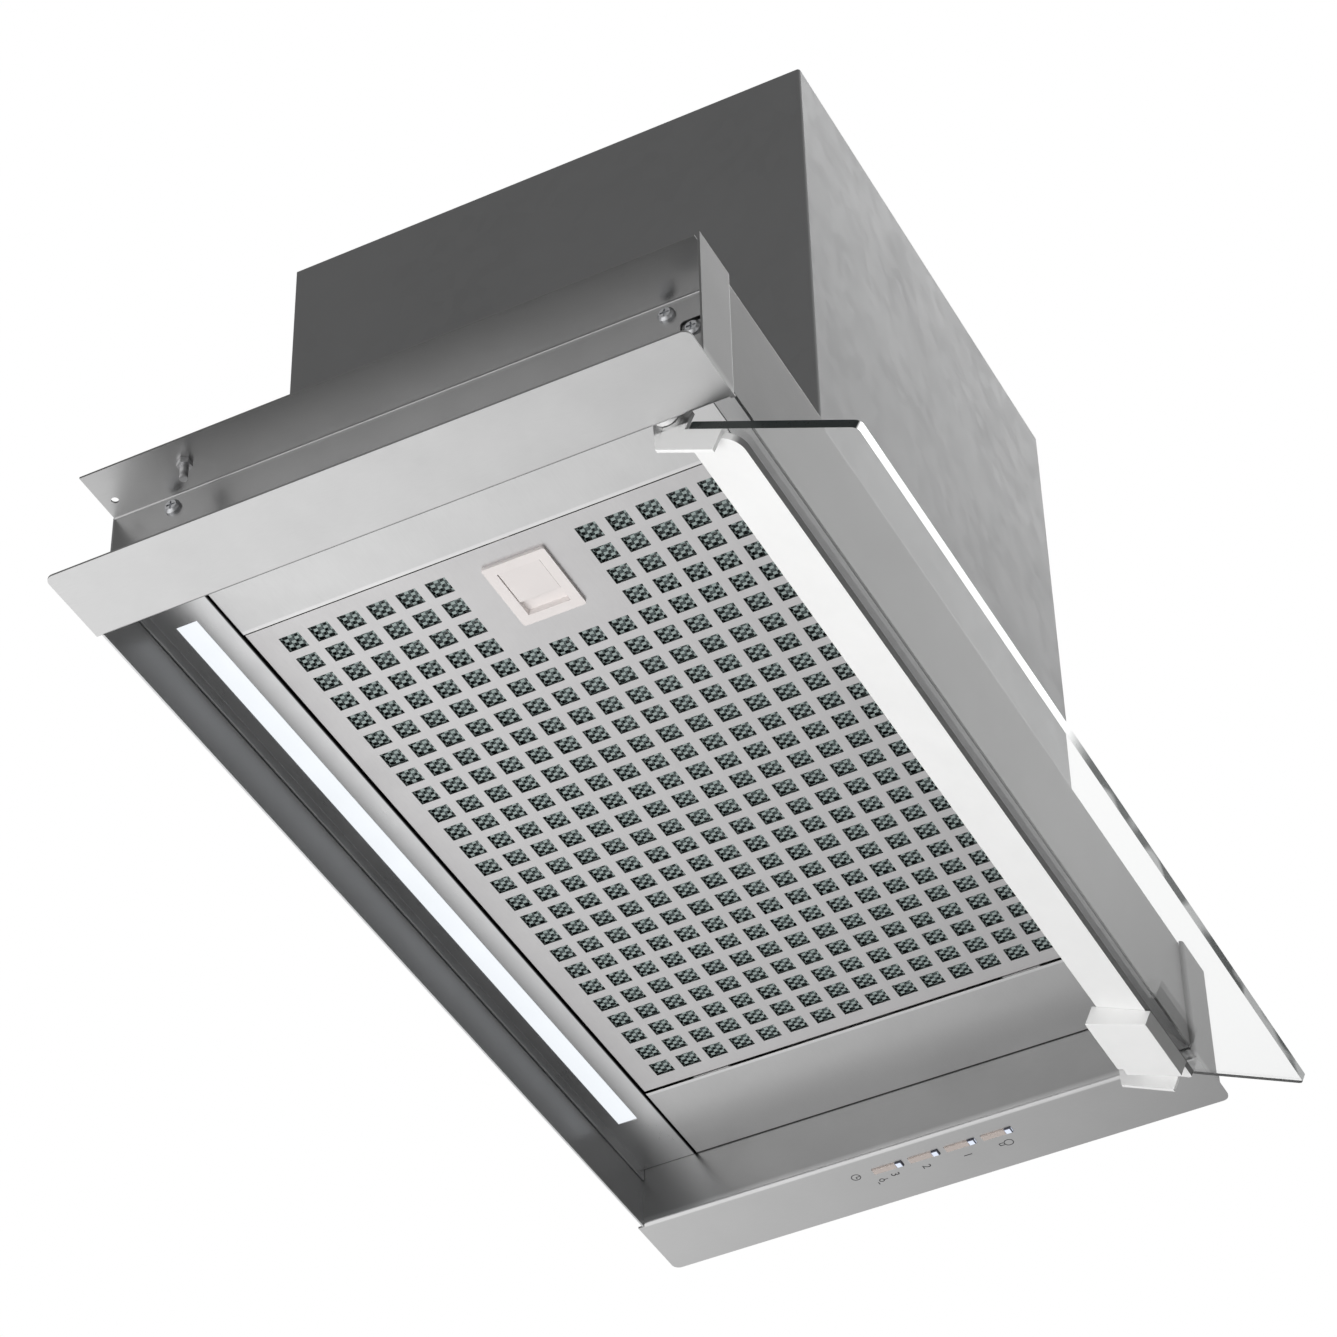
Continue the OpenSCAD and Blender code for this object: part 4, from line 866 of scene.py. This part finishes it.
class HOOD_OT_grease_filter(bpy.types.Operator):
    """Perforated face, frame and grille of the filter, and the expanded mesh between them"""

    bl_idname = "hood.grease_filter"
    bl_label = "Grease filter"

    def execute(self, context):
        sheet = grease_filter()
        face = brushed_steel("filter face", sheet.face_tone, sheets().steel_roughness + 0.02,
                             (180, 4600, 4600))
        dress(["filter_face"], face, 0.12 * MM)
        dress(["filter_frame", "filter_grille"],
              plain_metal("filter frame aluminium", scaled_tone(sheet.face_tone, 0.96), 0.38), 0.15 * MM)
        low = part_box("filter_mesh")[0]
        inset = 0.1 * MM
        near = plain_metal("mesh strands", sheet.strand_tone, 0.45, 0.8 * MM, 0.85)
        # The layer behind takes the darker tone as painted shade
        far = plain_metal("mesh strands behind", sheet.back_shade_tone, 0.5, 0.8 * MM, 0.85)
        piece = mesh_layer("filter_front_mesh", near, low.z + inset, sheet.row, sheet.strand)
        mesh_layer("filter_back_mesh", far, low.z + sheet.layer_gap, 2 * sheet.row, 4 * sheet.strand)
        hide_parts("filter_mesh")
        return {"FINISHED"}


class HOOD_OT_latch(bpy.types.Operator):
    """Bezel, slider and spring of the filter's latch"""

    bl_idname = "hood.latch"
    bl_label = "Latch"

    def execute(self, context):
        tone = plastics().latch_tone
        dress(["latch_bezel"], moulding("latch bezel plastic", tone, 0.46), 0.3 * MM)
        dress(["latch_slider"], moulding("latch slider plastic", scaled_tone(tone, 0.97), 0.44),
              0.25 * MM)
        latch_coil(plain_metal("latch spring wire", (0.55, 0.55, 0.56), 0.3, 0.3 * MM))
        return {"FINISHED"}


class HOOD_OT_light(bpy.types.Operator):
    """Long light behind the filter: lit diffuser, board and driver"""

    bl_idname = "hood.light"
    bl_label = "Light"

    def execute(self, context):
        tone = plastics().light_tone
        dress(["light_diffuser"], lit_moulding("diffuser opal", tone, 0.92, (0.12, 0.12, 0.12)),
              0.15 * MM)
        dress(["light_board"], moulding("light board lacquer", (0.78, 0.78, 0.74), 0.35, 1.5 * MM),
              0.1 * MM)
        dress(["light_driver"], moulding("driver casing", (0.80, 0.80, 0.79), 0.5), 0.5 * MM)
        return {"FINISHED"}


class HOOD_OT_visor(bpy.types.Operator):
    """Glass visor with its bar, arms, box, magnet and pivots"""

    bl_idname = "hood.visor"
    bl_label = "Visor"

    def execute(self, context):
        white = plastics().white_tone
        dress(["visor_glass"], visor_glass_finish(), 0.35 * MM)
        # The last number is the share of white left on the front faces under the painted shade
        dress(["visor_bar"], visor_moulding("visor bar plastic", white, 0.25), 0.35 * MM)
        dress(["visor_box"], visor_moulding("visor box plastic", white, 0.5), 0.5 * MM)
        dress(["visor_left_arm", "visor_right_arm"], visor_arm_finish(white), 0.2 * MM)
        dress(["visor_magnet"], plain_metal("magnet nickel", (0.55, 0.55, 0.53), 0.3), 0.2 * MM)
        dress(["visor_pins", "visor_nuts"], plain_metal("pivot zinc", (0.62, 0.63, 0.65), 0.3),
              0.2 * MM)
        dress(["visor_washers"], moulding("pivot washer nylon", scaled_tone(white, 0.9), 0.5),
              0.15 * MM)
        return {"FINISHED"}


class HOOD_OT_controls(bpy.types.Operator):
    """Push buttons, their lit windows, the board and the cap behind them"""

    bl_idname = "hood.controls"
    bl_label = "Controls"

    def execute(self, context):
        tones = plastics()
        dress(["button_light", "button_speed_1", "button_speed_2", "button_speed_3"],
              moulding("button cap plastic", tones.button_tone, 0.4, 0.5 * MM), 0.25 * MM)
        dress(["indicator_windows"],
              shaded_window("window plastic", tones.window_tone, 0.5, (0.5, 0.55, 0.64)), 0.12 * MM)
        dress(["control_housing"], moulding("control cap plastic", tones.black_tone, 0.5), 0.5 * MM)
        dress(["control_switches"], moulding("switch plastic", tones.black_tone, 0.35), 0.2 * MM)
        dress(["control_board"], board_finish(), 0.1 * MM)
        return {"FINISHED"}


class HOOD_OT_button_marks(bpy.types.Operator):
    """Printed marks beside the buttons: a clock, three digits, a small mark beside the 3 and a lamp"""

    bl_idname = "hood.button_marks"
    bl_label = "Button marks"

    def execute(self, context):
        marks = printed()
        ink = moulding("mark ink", marks.ink_tone, 0.5, 0.3 * MM, 0.1, 0.2)
        r = marks.ring_r
        to_front = math.radians(-90)
        to_back = math.radians(90)
        to_right = 0.0
        hands = [(to_front, (0, 0), r * 0.75), (to_right, (0, 0), r * 0.6)]
        ring("mark_clock", *beside("speed_3", 0.3, 16), r, ink, hands)
        stem = [(to_front, (0, -0.4 * r), r * 0.9), (to_right, (0.3 * r, 0.9 * r), r * 0.8)]
        ring("mark_boost", *beside("speed_3", 8.7, 5.4), r * 0.55, ink, stem)
        digit("mark_3", "3", *beside("speed_3", 7.2, -2.6), ink)
        digit("mark_2", "2", *beside("speed_2", 8.7, 0.6), ink)
        digit("mark_1", "1", *beside("speed_1", 9.7, -1.6), ink)
        cap = [(to_back, (side * r * 0.35, r), r * 0.9) for side in (-1, 1)]
        cap.append((to_right, (-0.35 * r, r * 1.9), 0.7 * r))
        ring("mark_lamp", *beside("light", 9.7, -4.2), r, ink, cap)
        return {"FINISHED"}


class HOOD_OT_fasteners(bpy.types.Operator):
    """Pan heads, clamp screws and the screws of the motor box"""

    bl_idname = "hood.fasteners"
    bl_label = "Fasteners"

    def execute(self, context):
        dress(["wall_screws", "box_screws"], plain_metal("screw zinc", (0.80, 0.81, 0.83), 0.33),
              0.25 * MM)
        dress(["clamp_screws"], ribbed_metal("clamp thread", (0.62, 0.62, 0.63), (0.88, 0.88, 0.89),
                                             0.7 * MM, "Z", 0.32), 0.2 * MM)
        return {"FINISHED"}


class HOOD_OT_fan(bpy.types.Operator):
    """Fan wheel, motor and the electrical pieces in the motor box"""

    bl_idname = "hood.fan"
    bl_label = "Fan and motor"

    def execute(self, context):
        tones = plastics()
        black = moulding("fan wheel plastic", tones.black_tone, 0.5)
        white = moulding("casing plastic", scaled_tone(tones.white_tone, 0.97), 0.5)
        dress(["fan_wheel"], black)
        dress(["motor_case"], plain_metal("motor case aluminium", (0.62, 0.62, 0.62), 0.38), 0.6 * MM)
        dress(["motor_stator"], ribbed_metal("winding copper", (0.30, 0.11, 0.05), (0.72, 0.34, 0.18),
                                             0.8 * MM, "Y", 0.3), 0.3 * MM)
        dress(["motor_rotor"], ribbed_metal("rotor sheets", (0.25, 0.25, 0.26), (0.55, 0.55, 0.56),
                                            0.5 * MM, "X", 0.35), 0.3 * MM)
        dress(["motor_shaft", "motor_bearings"], plain_metal("bearing steel", (0.66, 0.66, 0.67), 0.2),
              0.3 * MM)
        dress(["rubber_mounts"], moulding("mount rubber", (0.03, 0.03, 0.03), 0.75), 0.4 * MM)
        dress(["capacitor", "connection_box"], white, 0.6 * MM)
        return {"FINISHED"}


class HOOD_OT_duct(bpy.types.Operator):
    """Duct collar with its flaps and pin, and the cable gland"""

    bl_idname = "hood.duct"
    bl_label = "Duct collar"

    def execute(self, context):
        black = plastics().black_tone
        dress(["duct_collar"], moulding("collar plastic", scaled_tone(black, 1.3), 0.46, 0.9 * MM),
              0.4 * MM)
        dress(["front_flap", "back_flap"], moulding("flap plastic", black, 0.5, 0.9 * MM), 0.2 * MM)
        dress(["cable_gland"], moulding("gland plastic", black, 0.42), 0.3 * MM)
        dress(["flap_pin"], plain_metal("flap pin steel", (0.6, 0.6, 0.61), 0.25), 0.2 * MM)
        return {"FINISHED"}


# Stage


def camera_facing(location, turn, lens):
    """The camera, turned by three angles in degrees"""
    camera = bpy.data.objects.new("camera", bpy.data.cameras.new("camera"))
    bpy.context.scene.collection.objects.link(camera)
    camera.location = location
    camera.rotation_euler = [math.radians(angle) for angle in turn]
    camera.data.sensor_width = 36.0
    camera.data.lens = lens
    camera.data.clip_end = 50.0
    bpy.context.scene.camera = camera


def soft_lamp(name, location, target, size, power):
    """A white lamp of a given width and height, in watts, that the camera doesn't see"""
    lamp = bpy.data.lights.new(name, "AREA")
    lamp.shape = "RECTANGLE"
    lamp.size, lamp.size_y = size
    lamp.energy = power
    holder = bpy.data.objects.new(name, lamp)
    bpy.context.scene.collection.objects.link(holder)
    holder.location = location
    aim = Vector(target) - Vector(location)
    holder.rotation_euler = aim.to_track_quat("-Z", "Y").to_euler()
    holder.visible_camera = False
    return holder


def shaped(tree, value, start, end):
    """0 to 1 as a value goes from start to end, softly"""
    remap = tree.nodes.new("ShaderNodeMapRange")
    remap.interpolation_type = "SMOOTHSTEP"
    remap.inputs["From Min"].default_value = start
    remap.inputs["From Max"].default_value = end
    tree.links.new(value, remap.inputs["Value"])
    return remap.outputs["Result"]


def toward(tree, place, direction, start, end):
    """0 to 1 as a direction nears the given one: start and end are cosines"""
    nearness = dot(tree, place.outputs["Generated"], Vector(direction).normalized())
    return shaped(tree, nearness, start, end)


def seen_share(tree, path):
    """1 for what the camera sees, straight or through glass"""
    return total(tree, path.outputs["Is Camera Ray"], path.outputs["Is Transmission Ray"])


def surroundings(settings):
    """White all round, and a shaped studio in what the metals reflect and the glass lets through"""
    world = bpy.data.worlds.new("studio")
    bpy.context.scene.world = world
    world.use_nodes = True
    tree = world.node_tree
    tree.nodes.clear()
    output = tree.nodes.new("ShaderNodeOutputWorld")
    background = tree.nodes.new("ShaderNodeBackground")
    tree.links.new(background.outputs["Background"], output.inputs["Surface"])
    place = tree.nodes.new("ShaderNodeTexCoord")
    path = tree.nodes.new("ShaderNodeLightPath")
    white = (1.0, 1.0, 1.0)
    sky = (0.8, 0.8, 0.8)
    left_sky = (-0.75, 0.30, 0.6)
    behind_hood = (0.665, 0.328, 0.671)
    front = (0.1, -1.0, 0.1)
    studio = blended(tree, toward(tree, place, left_sky, 0.05, 0.75), (settings.fill,) * 3,
                     (settings.left_fill,) * 3)
    studio = blended(tree, toward(tree, place, behind_hood, 0.90, 0.97), studio, white)
    soft = blended(tree, toward(tree, place, front, -0.3, 0.45), sky, (settings.front_fill,) * 3)
    soft = blended(tree, seen_share(tree, path), soft, white)
    tree.links.new(blended(tree, path.outputs["Is Glossy Ray"], soft, studio),
                   background.inputs["Color"])
    background.inputs["Strength"].default_value = 1.0


def pale_floor(settings):
    """Wide pale floor below the hood, which is clear from beneath; metals see it fade with distance"""
    half = 9.0
    z = -settings.floor_drop
    mesh = bpy.data.meshes.new("floor")
    mesh.from_pydata([(-half, -half, z), (half, -half, z), (half, half, z), (-half, half, z)], [],
                     [(0, 1, 2, 3)])
    finish, tree, shader, place = blank_finish("floor")
    haze = noise(tree, place.outputs["Object"], 0.6, 2.0)
    tree.links.new(mottled(tree, haze, settings.floor_tone, 0.99), shader.inputs["Base Color"])
    shader.inputs["Roughness"].default_value = 0.8
    rise = (-0.29, 0.35, 0.0)
    level_at_middle = 0.935
    near = settings.near_floor
    far = settings.far_floor
    fade = spread(tree, dot(tree, place.outputs["Object"], rise), far, near, far - level_at_middle,
                  near - level_at_middle)
    front_share = 0.22
    front_y = -0.25
    back_y = 0.42
    fade = product(tree, fade, along(tree, place, "Y", front_share, 1.0, front_y, back_y))
    glow = tree.nodes.new("ShaderNodeEmission")
    tree.links.new(blended(tree, fade, (0.0, 0.0, 0.0), (1.0, 1.0, 1.0)), glow.inputs["Color"])
    path = tree.nodes.new("ShaderNodeLightPath")
    lift = 0.42
    shader.inputs["Emission Color"].default_value = (1.0, 1.0, 1.0, 1.0)
    tree.links.new(spread(tree, seen_share(tree, path), 0.0, lift, 0.0, 1.0),
                   shader.inputs["Emission Strength"])
    mix = tree.nodes.new("ShaderNodeMixShader")
    output = shader.outputs["BSDF"].links[0].to_node
    tree.links.new(path.outputs["Is Glossy Ray"], mix.inputs[0])
    tree.links.new(shader.outputs["BSDF"], mix.inputs[1])
    tree.links.new(glow.outputs["Emission"], mix.inputs[2])
    side = tree.nodes.new("ShaderNodeNewGeometry")
    one_way = tree.nodes.new("ShaderNodeMixShader")
    tree.links.new(side.outputs["Backfacing"], one_way.inputs[0])
    tree.links.new(mix.outputs["Shader"], one_way.inputs[1])
    tree.links.new(tree.nodes.new("ShaderNodeBsdfTransparent").outputs["BSDF"], one_way.inputs[2])
    tree.links.new(one_way.outputs["Shader"], output.inputs["Surface"])
    mesh.materials.append(finish)
    floor = bpy.data.objects.new("floor", mesh)
    bpy.context.scene.collection.objects.link(floor)


class HOOD_OT_stage(bpy.types.Operator):
    """Plain studio: pale floor, soft lamps, white surroundings and the camera"""

    bl_idname = "hood.stage"
    bl_label = "Stage"

    def execute(self, context):
        settings = stage()
        pale_floor(settings)
        surroundings(settings)
        below = soft_lamp("lamp_below", location=(-0.7, 0.3, -1.3), target=(0.0, 0.0, 0.1),
                          size=(1.6, 1.6), power=26.0)
        below.visible_glossy = False
        soft_lamp("lamp_front", location=(1.3, -0.05, 1.7), target=(1.3, -0.05, 0.0),
                  size=(1.8, 1.0), power=9.5)
        camera_facing(location=(-1.3779, -0.6747, -1.2710), turn=(132.173, 1.0666, -62.8114),
                      lens=settings.lens)
        context.scene.view_settings.view_transform = "Standard"
        return {"FINISHED"}


class HOOD_PT_panel(bpy.types.Panel):
    """Lists the steps of the hood"""

    bl_idname = "HOOD_PT_panel"
    bl_label = "Range hood"
    bl_space_type = "VIEW_3D"
    bl_region_type = "UI"
    bl_category = "Hood"

    def draw(self, context):
        column = self.layout.column()
        for step in STEPS:
            column.operator(step.bl_idname)


STEPS = (
    HOOD_OT_stage,
    HOOD_OT_end_plates,
    HOOD_OT_inner_sheets,
    HOOD_OT_grease_filter,
    HOOD_OT_latch,
    HOOD_OT_light,
    HOOD_OT_visor,
    HOOD_OT_controls,
    HOOD_OT_button_marks,
    HOOD_OT_fasteners,
    HOOD_OT_fan,
    HOOD_OT_duct,
)

SETTINGS = {
    "hood_sheets": HoodSheetSettings,
    "hood_filter": HoodFilterSettings,
    "hood_plastics": HoodPlasticSettings,
    "hood_marks": HoodMarkSettings,
    "hood_stage": HoodStageSettings,
}


def register():
    for name, group in SETTINGS.items():
        bpy.utils.register_class(group)
        setattr(bpy.types.Scene, name, PointerProperty(type=group))
    for step in STEPS:
        bpy.utils.register_class(step)
    bpy.utils.register_class(HOOD_PT_panel)


def unregister():
    bpy.utils.unregister_class(HOOD_PT_panel)
    for step in reversed(STEPS):
        bpy.utils.unregister_class(step)
    for name, group in SETTINGS.items():
        delattr(bpy.types.Scene, name)
        bpy.utils.unregister_class(group)


def main():
    register()
    for step in STEPS:
        area, action = step.bl_idname.split(".")
        getattr(getattr(bpy.ops, area), action)()


if __name__ == "__main__":
    main()
